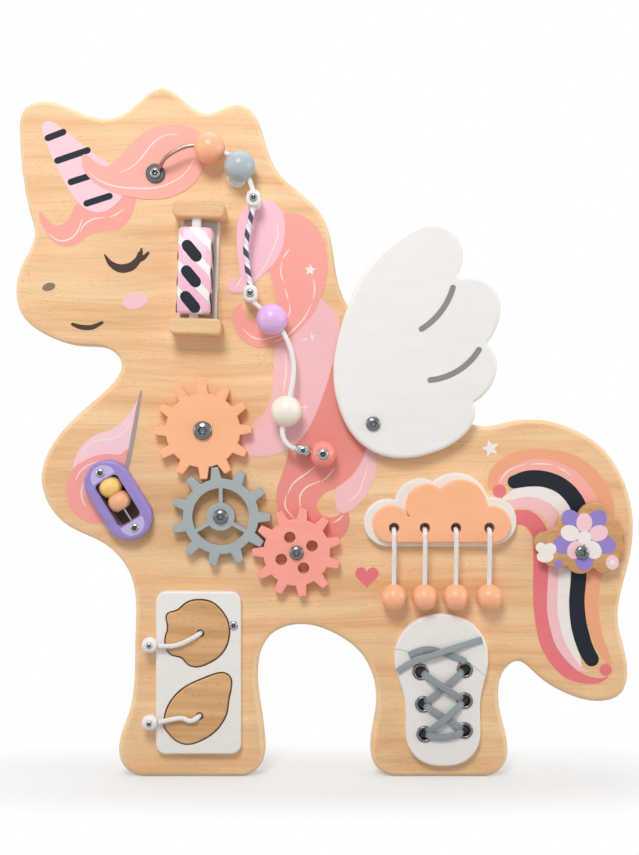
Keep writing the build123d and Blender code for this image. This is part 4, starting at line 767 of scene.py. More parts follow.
@dataclass
class RainbowTail:
    """A tail of stripes that arch over the rump and hang beside the hind leg, from inside outwards."""

    stripes: tuple = (
        (INK_ROSE, 1, ((125.8, 169.0, 7.8), (133.6, 167.1, 9.1), (140.1, 158.0, 9.0), (140.7, 146.3, 8.5),
                       (140.7, 128.1, 8.5), (140.5, 112.5, 7.8), (142.4, 96.9, 7.8), (145.9, 85.2, 8.3),
                       (152.4, 74.8, 8.0), (159.6, 67.6, 6.5), (168.7, 63.7, 4.5), (177.8, 62.7, 2.5),
                       (184.0, 64.9, 0.6))),
        (INK_SHELL, 2, ((121.9, 177.5, 4.0), (129.7, 178.1, 8.0), (138.8, 176.8, 8.5), (145.9, 171.0, 8.5),
                       (149.2, 163.2, 8.0), (149.2, 148.9, 7.5), (148.9, 134.6, 6.8), (147.9, 111.2, 6.8),
                       (149.4, 99.5, 6.5), (152.8, 87.8, 6.5), (158.3, 78.7, 5.5), (164.8, 71.5, 3.6),
                       (170.2, 68.5, 0.8))),
        (INK_CREAM, 1, ((117.3, 181.4, 2.0), (125.8, 184.2, 6.0), (134.9, 185.3, 7.3), (144.0, 184.0, 7.5),
                        (151.8, 179.4, 8.0), (157.0, 172.3, 8.0), (157.0, 156.7, 7.8), (156.7, 141.1, 7.6),
                        (155.9, 128.1, 7.4), (154.9, 115.1, 7.4), (155.7, 102.1, 7.2), (158.3, 90.4, 7.0),
                        (162.4, 80.0, 5.5), (166.1, 72.2, 1.5))),
        (INK_NAVY, 2, ((123.2, 191.8, 8.5), (132.3, 194.0, 10.5), (142.7, 193.7, 10.4), (153.1, 189.8, 10.4),
                       (160.9, 182.7, 10.6), (165.4, 173.6, 10.6), (166.1, 158.0, 10.5), (165.8, 141.1, 10.2),
                       (165.0, 128.1, 10.0), (164.0, 115.1, 10.0), (164.8, 102.1, 10.2), (167.1, 91.7, 10.4),
                       (170.2, 82.6, 10.0), (173.6, 76.7, 9.5))),
        (INK_SALMON, 1, ((113.4, 189.8, 3.0), (118.0, 198.3, 6.0), (127.1, 202.8, 7.0), (140.1, 203.5, 7.2),
                         (153.1, 200.9, 7.2), (163.5, 194.4, 8.0), (171.3, 185.3, 8.5), (175.8, 174.9, 8.5),
                         (176.5, 159.3, 8.0), (175.2, 141.1, 6.0), (171.9, 128.1, 4.0), (171.3, 115.1, 3.0))),
        (INK_PEACH, 2, ((108.9, 188.5, 5.0), (110.8, 197.0, 7.0), (119.3, 204.8, 7.5), (132.3, 209.7, 6.5),
                        (146.6, 209.7, 6.5), (159.6, 206.1, 8.0), (171.3, 198.3, 9.0), (179.7, 187.2, 9.5),
                        (183.6, 174.9, 9.5), (182.3, 156.7, 10.0), (177.8, 138.5, 10.0), (174.5, 125.5, 9.5),
                        (173.2, 112.5, 9.0), (175.2, 99.5, 8.0), (178.4, 87.8, 6.5), (182.3, 80.0, 5.5),
                        (185.3, 74.1, 2.5))))
    lap: float = 1.6            # how much wider the lower stripes are printed, under the upper ones
    full_lap: float = 6.0       # width of a stripe from which it has all of that
    light: tuple = (((113.4, 190.8, 0.4), (119.3, 198.9, 1.1), (130.3, 203.2, 0.4)),
                    ((133.6, 203.2, 0.4), (141.0, 203.6, 1.1), (148.5, 202.8, 0.4)),
                    ((151.0, 201.6, 0.4), (156.0, 199.0, 1.0), (160.2, 195.8, 0.4)))

    def build(self) -> None:
        """Print the stripes and the fine line on the second one from outside."""
        for number, (ink, layer, points) in enumerate(self.stripes, 1):
            spare = self.lap if layer == 1 else 0.0
            line = [(x, z, width + spare * min(1.0, width / self.full_lap)) for x, z, width in points]
            Print(f"tail_stripe_{number}", stroke(line, 5, 6), layer, ink).build()
        for number, points in enumerate(self.light, 1):
            Print(f"tail_light_{number}", stroke(points, 6, 3), 2.5, INK_LIGHT).build()


def heart(centre: Point, size: float, count: int = 36) -> Outline:
    """Return the traditional heart, `size` wide."""
    outline = []
    for k in range(count):
        t = math.tau * k / count
        x = 16 * math.sin(t) ** 3
        z = 13 * math.cos(t) - 5 * math.cos(2 * t) - 2 * math.cos(3 * t) - math.cos(4 * t)
        outline.append((centre[0] + x * size / 32, centre[1] + z * size / 32))
    return outline


def star(centre: Point, reach: float, lean: float, tips: int = 5, waist: float = 0.45) -> Outline:
    """Return a star with `tips` points, the first one `lean` degrees from upright."""
    return [turned((0, reach * (waist if k % 2 else 1.0)), centre, lean + 180 * k / tips)
            for k in range(2 * tips)]


@dataclass
class Decoration:
    """Everything that is printed on the board."""

    forelocks: tuple[Lock, ...] = (
        Lock("forelock_lower", INK_CORAL, 1, (
            (-184.9, 367.6), (-178.0, 360.7), (-173.8, 358.6), (-169.6, 359.8), (-165.9, 363.5),
            (-160.3, 373.7), (-145.5, 381.1), (-123.6, 379.3), (-123.2, 371.8), (-126.0, 364.4),
            (-129.7, 359.0), (-135.2, 355.9), (-148.2, 354.0), (-153.8, 351.6), (-160.3, 346.8),
            (-166.8, 344.7), (-173.3, 346.0), (-178.9, 350.9), (-182.6, 357.0), (-184.9, 362.5)),
            (((-179.4, 353.3), (-174.2, 349.3), (-168.7, 348.6), (-163.1, 351.4), (-159.4, 357.0),
              (-157.5, 362.5)),
             ((-158.9, 354.2), (-155.7, 359.3), (-150.1, 362.7), (-143.1, 363.7)),
             ((-139.9, 363.9), (-135.2, 365.8), (-130.4, 369.2)))),
        Lock("forelock_upper", INK_SALMON, 4, (
            (-156.1, 404.8), (-147.8, 399.2), (-143.6, 397.1), (-139.0, 398.0), (-130.6, 405.7),
            (-125.0, 412.2), (-118.5, 417.8), (-111.1, 422.0), (-102.7, 424.0), (-94.4, 424.0),
            (-87.0, 422.0), (-80.5, 417.8), (-76.7, 410.8), (-76.3, 404.3), (-78.1, 396.9), (-81.9, 389.9),
            (-87.0, 383.9), (-94.4, 379.1), (-103.7, 376.0), (-113.0, 375.3), (-122.2, 376.3),
            (-131.5, 378.3), (-139.9, 381.1), (-147.3, 384.8), (-152.9, 389.5), (-156.6, 395.0),
            (-157.7, 399.7)),
            (((-132.9, 392.7), (-126.9, 395.5), (-121.3, 399.7), (-116.7, 405.3), (-111.1, 412.2),
              (-103.7, 416.9), (-94.4, 417.8)),
             ((-153.4, 394.1), (-148.2, 389.0), (-140.8, 385.3), (-131.5, 383.2), (-117.6, 382.5),
              (-107.4, 383.4), (-98.1, 387.1), (-90.7, 392.3), (-84.4, 401.5)))),
    )
    mane: tuple[Lock, ...] = (
        Lock("mane_1", INK_ORCHID, 4, (
            (-38.7, 375.4), (-31.6, 372.2), (-27.1, 366.2), (-25.7, 357.7), (-26.5, 347.8), (-29.1, 340.0),
            (-33.7, 332.7), (-39.4, 327.0), (-45.7, 321.0), (-51.4, 316.3), (-57.0, 314.6), (-61.3, 315.7),
            (-63.0, 319.1), (-61.8, 323.1), (-59.0, 325.1), (-58.7, 321.9), (-56.3, 321.7), (-54.8, 325.2),
            (-55.6, 333.0), (-56.8, 344.3), (-56.8, 355.6), (-54.9, 364.8), (-50.0, 371.8), (-44.3, 374.7)),
            (((-30.9, 360.8), (-30.3, 352.3), (-33.1, 344.1), (-38.4, 332.9), (-46.6, 321.7)),
             ((-53.3, 324.7), (-55.8, 321.6), (-57.7, 318.3)))),
        Lock("mane_2", INK_CORAL, 3, (
            (-27.3, 366.2), (-16.8, 365.5), (-9.7, 361.9), (-3.4, 354.9), (0.6, 345.7), (2.0, 335.1),
            (1.2, 323.8), (-1.9, 313.2), (-6.5, 302.6), (-13.0, 294.1), (-20.3, 287.0), (-28.8, 281.4),
            (-37.3, 279.3), (-45.7, 279.8), (-52.8, 283.8), (-57.8, 290.6), (-59.9, 297.6), (-58.5, 304.0),
            (-54.2, 307.8), (-53.1, 303.3), (-50.0, 298.8), (-44.3, 296.9), (-37.3, 298.3), (-32.3, 303.3),
            (-31.3, 309.7), (-33.3, 318.1), (-35.0, 325.9), (-36.0, 332.3), (-31.5, 343.0), (-29.5, 357.7)),
            (((-22.7, 343.3), (-25.2, 339.9), (-27.2, 337.0)),
             ((-27.9, 334.7), (-28.3, 326.9), (-26.4, 321.7)),
             ((-25.7, 317.6), (-24.6, 313.8), (-23.8, 310.1)),
             ((-22.8, 307.5), (-22.6, 302.0), (-24.5, 298.6)),
             ((-7.4, 323.5), (-6.3, 317.2), (-7.4, 310.5)),
             ((-8.7, 307.1), (-13.0, 298.6), (-23.4, 287.7), (-32.4, 282.7)),
             ((-52.9, 291.1), (-46.6, 285.9), (-39.1, 284.5), (-27.2, 288.1)))),
        Lock("mane_3", INK_BLUSH, 2, (
            (-4.5, 311.5), (2.5, 306.7), (9.4, 297.6), (9.7, 289.2), (7.2, 276.4), (3.7, 263.0),
            (-0.9, 248.2), (-6.9, 233.3), (-13.9, 221.3), (-22.4, 213.6), (-32.3, 209.5), (-42.9, 208.3),
            (-50.0, 210.3), (-53.5, 216.4), (-52.8, 223.5), (-47.2, 229.1), (-41.2, 234.8), (-36.6, 241.8),
            (-34.0, 251.0), (-33.0, 262.3), (-32.7, 273.6), (-31.0, 285.4), (-16.0, 297.5), (-9.5, 306.0)),
            (((-14.8, 282.5), (-12.6, 284.6), (-10.0, 285.7)),
             ((-25.4, 275.0), (-25.0, 262.0), (-27.4, 249.0)),
             ((-19.0, 262.0), (-21.4, 246.0), (-30.6, 229.0)))),
        Lock("mane_4", INK_TEAROSE, 1, (
            (1.1, 268.3), (-3.5, 251.3), (-9.5, 235.3), (-14.4, 226.3), (-22.5, 213.8), (-24.9, 205.3),
            (-27.4, 197.3), (-30.6, 188.3), (-31.4, 179.3), (-29.4, 172.3), (-21.9, 164.3), (-9.9, 158.3),
            (2.1, 155.3), (9.1, 154.3), (14.6, 159.8), (16.4, 167.3), (14.1, 175.8), (11.1, 171.8),
            (5.1, 168.8), (-0.9, 169.8), (-4.4, 173.8), (-4.7, 178.3), (-1.9, 182.3), (4.1, 186.3),
            (14.1, 188.3), (21.1, 194.3), (27.1, 203.3), (31.1, 214.3), (28.1, 234.3), (15.1, 259.3)),
            (((-5.9, 201.8), (-11.9, 197.3), (-19.9, 191.3), (-23.9, 184.3)),
             ((-24.9, 183.3), (-25.4, 175.3), (-19.9, 168.3)),
             ((6.6, 200.8), (2.1, 195.3), (-1.9, 192.3)),
             ((-2.9, 192.3), (-11.9, 188.3), (-15.9, 182.3), (-15.4, 174.3)),
             ((12.1, 170.3), (9.1, 167.3), (5.1, 165.3)))),
        Lock("mane_5", INK_BLUSH, 2, (
            (28.1, 214.3), (33.7, 209.0), (32.5, 195.2), (27.5, 184.0), (20.0, 175.3), (12.6, 171.6),
            (8.1, 174.3), (6.9, 180.3), (7.1, 187.3), (11.1, 190.3), (18.1, 196.3), (24.1, 205.3)),
            (((15.1, 179.3), (19.1, 181.8), (23.1, 186.3), (28.0, 202.7)),)),
    )
    breast: tuple[Lock, ...] = (
        Lock("breast_1", INK_PINK, 1, (
            (-118.7, 251.1), (-121.8, 244.6), (-125.5, 238.1), (-131.1, 231.6), (-137.6, 226.5),
            (-145.0, 223.7), (-151.5, 220.9), (-157.1, 215.8), (-161.2, 209.3), (-163.6, 201.0),
            (-157.1, 205.0), (-141.0, 209.0), (-132.9, 209.3), (-127.4, 214.0), (-124.6, 224.2),
            (-121.3, 238.1)),
            (((-158.2, 208.4), (-154.3, 214.9), (-147.8, 218.6), (-139.4, 219.7), (-132.0, 222.8),
              (-127.4, 227.9), (-126.0, 231.1)),)),
        Lock("breast_2", INK_MAUVE, 2, (
            (-118.7, 251.1), (-121.0, 246.5), (-125.4, 224.0), (-127.4, 213.0), (-129.7, 202.8),
            (-127.4, 200.5), (-123.6, 217.7), (-119.9, 240.9))),
        Lock("breast_3", INK_CORAL, 3, (
            (-128.3, 213.0), (-132.9, 209.8), (-141.3, 210.1), (-149.6, 208.6), (-157.1, 205.1),
            (-163.6, 200.0), (-167.3, 192.6), (-168.0, 184.3), (-165.4, 175.9), (-159.9, 169.4),
            (-152.4, 165.7), (-144.1, 165.5), (-140.6, 170.0), (-147.0, 176.0), (-143.0, 186.0),
            (-136.0, 196.0), (-129.7, 204.2)),
            (((-161.7, 193.1), (-158.9, 198.2), (-153.4, 202.8), (-144.1, 205.8)),
             ((-156.6, 190.8), (-158.0, 186.1), (-157.5, 180.5), (-155.2, 175.9)))),
    )
    sparkles: tuple = (
        ("star_rump", star((107.8, 213.6), 5.9, 14), 1, INK_CREAM),
        ("star_mane_1", star((-9.3, 329.5), 3.9, -6), 3.5, INK_CREAM),
        ("star_mane_2", star((-8.1, 286.2), 3.4, 14, 4, 0.22), 2.5, INK_CREAM),
        ("star_mane_3", star((-12.6, 240.4), 3.2, 6, 4, 0.22), 2.5, INK_CREAM),
        ("heart_belly", heart((27.6, 130.6), 15.4), 1, INK_ROSE),
        ("tail_dot_top", ellipse((113.7, 185.9), 8.6, 8.6), 4, INK_ROSE),
        ("tail_dot_foot", ellipse((182.7, 69.8), 7.6, 7.6), 4, INK_ROSE))

    def build(self) -> None:
        """Print all of it."""
        Horn().build()
        SleepingFace().build()
        for lock in (*self.forelocks, *self.mane, *self.breast):
            lock.build()
        RainbowTail().build()
        for name, outline, layer, ink in self.sparkles:
            Print(name, outline, layer, ink).build()
        log.info("printed decoration")


# ---------------------------------------------------------------- fasteners

@dataclass(frozen=True)
class StarScrew:
    """A pan-head screw with a six-lobed recess."""

    name: str
    node: str
    place: Point
    seat: float
    radius: float
    finish: Finish = NICKEL
    body: str = ROOT
    # shares of the head's radius
    recess_share: float = 0.42  # the recess's mean radius
    recess_depth: float = 0.36
    crown: Point = (0.20, 0.40)         # height at the edge, and how much the middle adds
    rim: float = 0.16           # height of the straight rim
    lobe: float = 0.20          # how far a lobe stands out, as a share of the recess's radius
    segments: int = 48

    def dome(self, share: float) -> float:
        """Height of the head at a share of its radius."""
        edge, rise = self.crown
        return self.radius * (edge + rise * math.sqrt(max(0.0, 1 - share**2)))

    def build(self) -> bpy.types.Object:
        """Make the head with its recess, in place of the plain one."""
        count = self.segments
        lobes = [self.recess_share * (1 + self.lobe * math.cos(6 * math.tau * k / count))
                 for k in range(count)]
        floor = self.dome(0) - self.recess_depth * self.radius
        # from the recess's middle to the foot of the rim: shares of the radius, and heights
        rings = [([0.12] * count, [floor - 0.04 * self.radius] * count),
                 ([0.74 * s for s in lobes], [floor] * count),
                 ([0.97 * s for s in lobes], [self.dome(s) - 0.03 * self.radius for s in lobes]),
                 ([1.03 * s for s in lobes], [self.dome(s) for s in lobes])]
        rings += [([share] * count, [self.dome(share)] * count) for share in (0.60, 0.72, 0.84, 0.93, 0.985)]
        rings += [([1.0] * count, [height] * count) for height in (self.rim * self.radius, 0.0)]
        verts = []
        for shares, heights in rings:
            for k in range(count):
                x, z = turned((shares[k] * self.radius, 0), self.place, 360 * k / count)
                verts.append(at(x, z, self.seat + heights[k]))
        piece = make_piece(self.name, verts, tube_faces(len(rings), count), self.finish, self.body, 38)
        # painted shade: the recess's walls, and its floor too unless the head is dark nickel, take the
        # near-black colour
        piece.data.materials.append(SHADOW.material())
        first = count if self.finish is DARK_NICKEL else 0     # light reaches the floor of a wide recess only
        for face in piece.data.polygons[first:2 * count]:
            face.material_index = 1
        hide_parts(self.node)
        return piece


@dataclass
class Screws:
    """All the screws whose heads show."""

    # name, solid, finish, recess, and each head's x, z, seat and radius
    groups: tuple = (
        ("gear_screw", "gear_screws", DARK_NICKEL, 0.42,
         ((-78.3, 225.3, 9.05, 6.0), (-66.826, 169.896, 9.05, 4.8), (-17.938, 146.682, 9.05, 4.6))),
        ("wing_pivot_screw", "wing_screw", DARK_NICKEL, 0.42, ((31.1, 229.6, 11.3, 4.6),)),
        ("spinner_pivot_screw", "spinner_screw", DARK_NICKEL, 0.42, ((165.5, 146.8, 8.8, 4.4),)),
        ("track_screw", "wire_screws", NICKEL, 0.5,
         ((-109.78, 392.16, 2.2, 3.5), (-45.4, 373.71, 16.0, 2.7), (-47.47, 312.92, 16.0, 2.7),
          (-13.80, 212.58, 15.0, 2.6), (-1.0, 210.28, 17.0, 3.5))),
        ("slider_screw", "slider_screws", NICKEL, 0.56,
         ((-143.896, 197.997, 9.8, 2.9), (-121.904, 162.803, 9.8, 2.9))),
        ("panel_screw", "panel_screws", NICKEL, 0.45,
         ((-58.7, 99.6, 6.0, 2.9), (-112.2, 87.7, 13.5, 2.0), (-112.2, 37.8, 13.5, 2.0))))

    def build(self) -> None:
        """Make every head; a screw that is alone in its group has no number."""
        for name, node, finish, recess, places in self.groups:
            for number, (x, z, seat, radius) in enumerate(places, 1):
                full_name = f"{name}_{number}" if len(places) > 1 else name
                StarScrew(full_name, node, (x, z), seat, radius, finish, recess_share=recess).build()
            log.info("made %d of %s", len(places), name)
        dress(NICKEL, "rear_screws")


# ---------------------------------------------------------------- cords and wires

def along_spline(route: Sequence[Vector], name: str, resolution: int = 24) -> list[Vector]:
    """Return places along the smooth line of a route.

    Args:
        route: control points in metres.
        name: name of the curve made for the purpose.
        resolution: places from one control point to the next.

    Returns:
        The places, in metres, in order.
    """
    data = bpy.data.curves.new(name, "CURVE")
    data.dimensions = "3D"
    data.resolution_u = resolution
    spline = data.splines.new("NURBS")
    spline.points.add(len(route) - 1)
    for point, place in zip(spline.points, route):
        point.co = (*place, 1.0)
    spline.order_u = 3
    spline.use_endpoint_u = True
    holder = bpy.data.objects.new(name, data)
    bpy.context.scene.collection.objects.link(holder)
    mesh = bpy.data.meshes.new_from_object(holder)
    line = [v.co.copy() for v in mesh.vertices]
    bpy.data.objects.remove(holder)
    bpy.data.meshes.remove(mesh)
    return line


def respaced(line: Sequence[Vector], step: float) -> list[Vector]:
    """Return places `step` metres apart along a line that is already smooth."""
    lengths = [0.0]
    for a, b in zip(line, line[1:]):
        lengths.append(lengths[-1] + (b - a).length)
    count = max(2, round(lengths[-1] / step))
    places, i = [], 0
    for k in range(count + 1):
        want = lengths[-1] * k / count
        while i < len(line) - 2 and lengths[i + 1] < want:
            i += 1
        span = lengths[i + 1] - lengths[i] or 1.0
        places.append(line[i].lerp(line[i + 1], (want - lengths[i]) / span))
    return places


Section = Callable[[float, float], tuple[float, float]]


def round_section(radius: float, strands: int = 0, pitch: float = 4.0, depth: float = 0.0) -> Section:
    """Return a round section, with the relief of strands that cross each other if asked.

    Args:
        radius: the section's radius.
        strands: strands in each direction.
        pitch: length in which a strand goes once round.
        depth: depth of the groove between strands, as a share of the radius.

    Returns:
        A function of the distance along, in millimetres, and the share around.
    """
    def section(along: float, around: float) -> tuple[float, float]:
        """Return the place on the section, from its middle."""
        size = radius
        if strands:
            crossing = max(math.cos(math.tau * strands * (around + side * along / (pitch * strands)))
                           for side in (1, -1))
            size *= 1 - depth * (1 - crossing) / 2
        return size * math.cos(math.tau * around), size * math.sin(math.tau * around)
    return section


def flat_section(width: float, thick: float, ribs: int = 5, depth: float = 0.30,
                 fullness: Point = (0.7, 0.8), weave: Point = (0.04, 1.3)) -> Section:
    """Return a flat braid's section: a soft oval with ribs along it.

    Args:
        width: the braid's width.
        thick: its thickness.
        ribs: ribs side by side.
        depth: depth of the groove between ribs, as a share of half the thickness.
        fullness: powers of the oval's cosine and sine; below 1 it is fuller than an ellipse.
        weave: share by which the thickness comes and goes, and the length in which it does.

    Returns:
        A function of the distance along, in millimetres, and the share around.
    """
    def section(along: float, around: float) -> tuple[float, float]:
        """Return the place on the section, from its middle."""
        a = math.tau * around
        x = math.copysign(abs(math.cos(a)) ** fullness[0], math.cos(a)) * width / 2
        rib = 1 - depth * (0.5 - 0.5 * math.cos(math.tau * ribs * x / width))
        swell = 1 + weave[0] * math.cos(math.tau * along / weave[1])
        return x, math.copysign(abs(math.sin(a)) ** fullness[1], math.sin(a)) * thick / 2 * rib * swell
    return section


def swept(name: str, line: Sequence[Vector], section: Section, around: int, finish: Finish,
          body: str | None = ROOT, flat: bool = False, repeat: Point | None = None) -> bpy.types.Object:
    """Sweep a section along a line.

    Args:
        name: the piece's name.
        line: places along it in metres.
        section: its section.
        around: faces around.
        finish: its surface.
        body: what it moves with.
        flat: keep the section's width parallel to the board.
        repeat: length, in millimetres, and turns that one UV unit stands for; millimetres of length
            and of girth if left out.

    Returns:
        The object, closed at both ends.
    """
    verts, coords, travelled, side = [], [], 0.0, None
    front = Vector((0, -1, 0))
    for i, place in enumerate(line):
        way = (line[min(i + 1, len(line) - 1)] - line[max(i - 1, 0)]).normalized()
        if i:
            travelled += (place - line[i - 1]).length / MM
        if flat:
            flatway = Vector((way.x, 0, way.z))
            if flatway.length > 0.15 or side is None:
                side = flatway.cross(front).normalized()
        elif side is None:
            side = way.cross(front) if abs(way.dot(front)) < 0.9 else way.cross(Vector((1, 0, 0)))
        side = (side - way * side.dot(way)).normalized()
        up = side.cross(way)
        for k in range(around):
            a, b = section(travelled, k / around)
            verts.append(place + (side * a + up * b) * MM)
            girth = k / around
            coords.append((travelled / (repeat[0] if repeat else 1.0),
                           girth * (repeat[1] if repeat else math.tau * CORD_RADIUS)))
    return make_piece(name, verts, tube_faces(len(line), around), finish, body, 60, lambda n: coords[n])


@dataclass(frozen=True)
class Cord:
    """A free cord: its route from the CAD, and how it is held."""

    name: str
    nodes: tuple[str, ...]
    route: Route                # x, z and height of each control point
    width: float                # its diameter, or a flat cord's width
    finish: Finish
    slot: str
    far_end: str = "object"
    stiffness: str = "limp"
    lay: str = "taut"
    thick: float = 0.0          # a flat cord's thickness
    step: float = 0.4           # from one ring of corners to the next
    around: tuple[int, int] = (28, 36)          # corners in a ring of a round cord and of a flat one
    braid: tuple = (4, 1.6, 0.12)       # a round cord's strands each way, their pitch and groove

    def build(self, body: str | None = ROOT) -> bpy.types.Object:
        line = respaced(along_spline([at(*p) for p in self.route], f"{self.name}_line"),
                        self.step * MM)
        if self.thick:
            section, around = flat_section(self.width, self.thick), self.around[1]
        else:
            section, around = round_section(self.width / 2, *self.braid), self.around[0]
        piece = swept(self.name, line, section, around, self.finish, body, bool(self.thick))
        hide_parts(*self.nodes)
        return piece


@dataclass
class PullCords:
    """Four cords that hang from the cloud, each with a bead that can be pushed up."""

    columns: tuple[float, ...] = (44.6, 64.4, 84.4, 105.8)
    drop: Route = ((0.0, 161.9, 4.0), (0.0, 161.9, 12.4), (0.0, 153.8, 12.1), (0.0, 145.3, 11.4),
                   (0.0, 136.6, 9.6), (0.0, 122.0, 9.0))
    width: float = 3.0
    lift: float = 18.0          # how far a bead rises
    rim: tuple = ((2.75, 9.6), (2.85, 10.02), (3.15, 10.06), (3.35, 10.0))     # radius and height of a ring of painted shade at each cord's opening
    hole_shade_z: float = 162.8

    def build(self) -> None:
        """Make the cords, their beads and rings of painted shade at their holes."""
        for number, x in enumerate(self.columns, 1):
            cord = Cord(f"hanging_cord_{number}", (f"pull_cord_{number}",),
                        tuple((x + dx, z, h) for dx, z, h in self.drop), self.width, CORD, "white_cord")
            piece = cord.build()
            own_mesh(piece)
            verts, faces = lathe(self.rim, at(x, self.hole_shade_z, 0), Vector((0, -1, 0)), 32)
            hole = make_piece(f"cord_hole_shade_{number}", verts, faces, SHADOW)
            dress(PEACH_BEAD, f"pull_bead_{number}")


@dataclass
class Tethers:
    """The two short cords that keep the loose pieces with the panel."""

    routes: tuple = (
        ("fruit", ((-106.9, 87.0, 10.3), (-100.3, 86.4, 9.4), (-93.3, 87.5, 9.2), (-86.6, 90.8, 9.3),
                   (-80.9, 94.1, 9.3), (-79.3, 94.9, 2.8))),
        ("leaf", ((-106.6, 38.0, 10.3), (-99.5, 39.3, 9.4), (-91.2, 40.9, 9.3), (-86.6, 38.0, 9.3),
                  (-81.7, 40.4, 9.4), (-80.0, 41.7, 2.8))))
    width: float = 3.2

    def build(self) -> None:
        """Make both cords, bending from the knob to the piece."""
        for name, route in self.routes:
            cord = Cord(f"{name}_cord", (f"{name}_tether",), route, self.width, CORD, "white_cord")
            piece = cord.build(None)
            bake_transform(piece)


@dataclass
class Shoelace:
    """A flat lace crossed over the shoe, with its two ends tied above the top eyelets."""

    eyelets: tuple = ((62.0, 69.6), (90.5, 71.0), (63.7, 48.7), (90.4, 51.0), (64.6, 29.4), (90.4, 31.8))
    runs: tuple = ((0, 3, 10.4), (2, 5, 8.3), (1, 2, 8.3), (3, 4, 10.4), (4, 5, 8.4))
    tail: Route = ((46.8, 69.8, 7.2), (53.5, 74.8, 7.3), (61.5, 78.0, 8.9), (70.0, 80.8, 10.2),
                   (78.6, 84.2, 10.1), (87.3, 86.6, 8.4), (95.0, 88.6, 7.4), (101.4, 90.6, 7.2))
    tie: Route = ((54.4, 80.6, 7.1), (60.5, 83.4, 7.1), (67.6, 84.6, 7.1), (75.0, 82.7, 7.1),
                  (82.4, 80.0, 7.2), (87.2, 78.6, 7.9), (90.8, 76.4, 8.4))
    width: float = 4.6
    thick: float = 1.5
    end_narrower: float = 0.4   # how much narrower the tied ends are
    sag: float = 2.7            # of the lowest run
    dip: float = 2.2            # height of a run's end inside its eyelet
    over_rim: float = 8.2       # height of a run over an eyelet's rim
    round_over: float = 0.3     # how much lower a run is away from its middle
    eyelet_shadow: tuple = ((0.01, 4.4), (2.76, 4.4), (2.76, 4.2))      # radius and height
    plate: float = 6.0          # height of the shoe's face
    # painted shade: grey strokes along the shoe's seams, as x, z and width
    seam_shade_lines: tuple = (((45.6, 84.4, 0.5), (50.4, 83.6, 0.7), (55.5, 81.9, 0.5)),
                    ((89.3, 77.4, 0.5), (97.4, 72.3, 0.7), (104.9, 65.8, 0.5)))

    def build(self) -> None:
        """Make each run from eyelet to eyelet, and the tied ends."""
        for number, (first, last, height) in enumerate(self.runs, 1):
            (x0, z0), (x1, z1) = self.eyelets[first], self.eyelets[last]
            sag = self.sag if number == len(self.runs) else 0.0
            beside = height - self.round_over
            route = [(x0 + (x1 - x0) * t, z0 + (z1 - z0) * t - sag * math.sin(math.pi * t), h)
                     for t, h in ((0.03, self.dip), (0.09, self.over_rim), (0.30, beside), (0.50, height),
                                  (0.70, beside), (0.91, self.over_rim), (0.97, self.dip))]
            Cord(f"lace_run_{number}", ("shoelace",), route, self.width, LACE, "lace",
                 thick=self.thick).build()
        for name, route in (("lace_tail", self.tail), ("lace_tie", self.tie)):
            Cord(name, ("lace_ends",), route, self.width - self.end_narrower,
                 LACE_TIP if name == "lace_tail" else LACE, "lace", far_end="bare", lay="loose",
                 thick=self.thick).build()
        dress(DARK_NICKEL, "shoe_eyelets")
        for number, seam in enumerate(self.seam_shade_lines, 1):
            line = Print(f"shoe_seam_shade_{number}", stroke(seam, 6, 3), 1, SEAM_SHADE).build(ROOT, self.plate)
        for number, (x, z) in enumerate(self.eyelets, 1):
            verts, faces = lathe(self.eyelet_shadow, at(x, z, 0), Vector((0, -1, 0)), 24)
            make_piece(f"eyelet_shadow_{number}", verts, faces, SHADOW)


def arc(centre: Point, radius: float, start: float, end: float, height: float, step: float = 2.0
        ) -> list[Vector]:
    """Return places on an arc in front of the board, from one angle to another in degrees."""
    count = max(2, round(abs(end - start) / step))
    return [at(*turned((radius, 0), centre, start + (end - start) * k / count), height)
            for k in range(count + 1)]


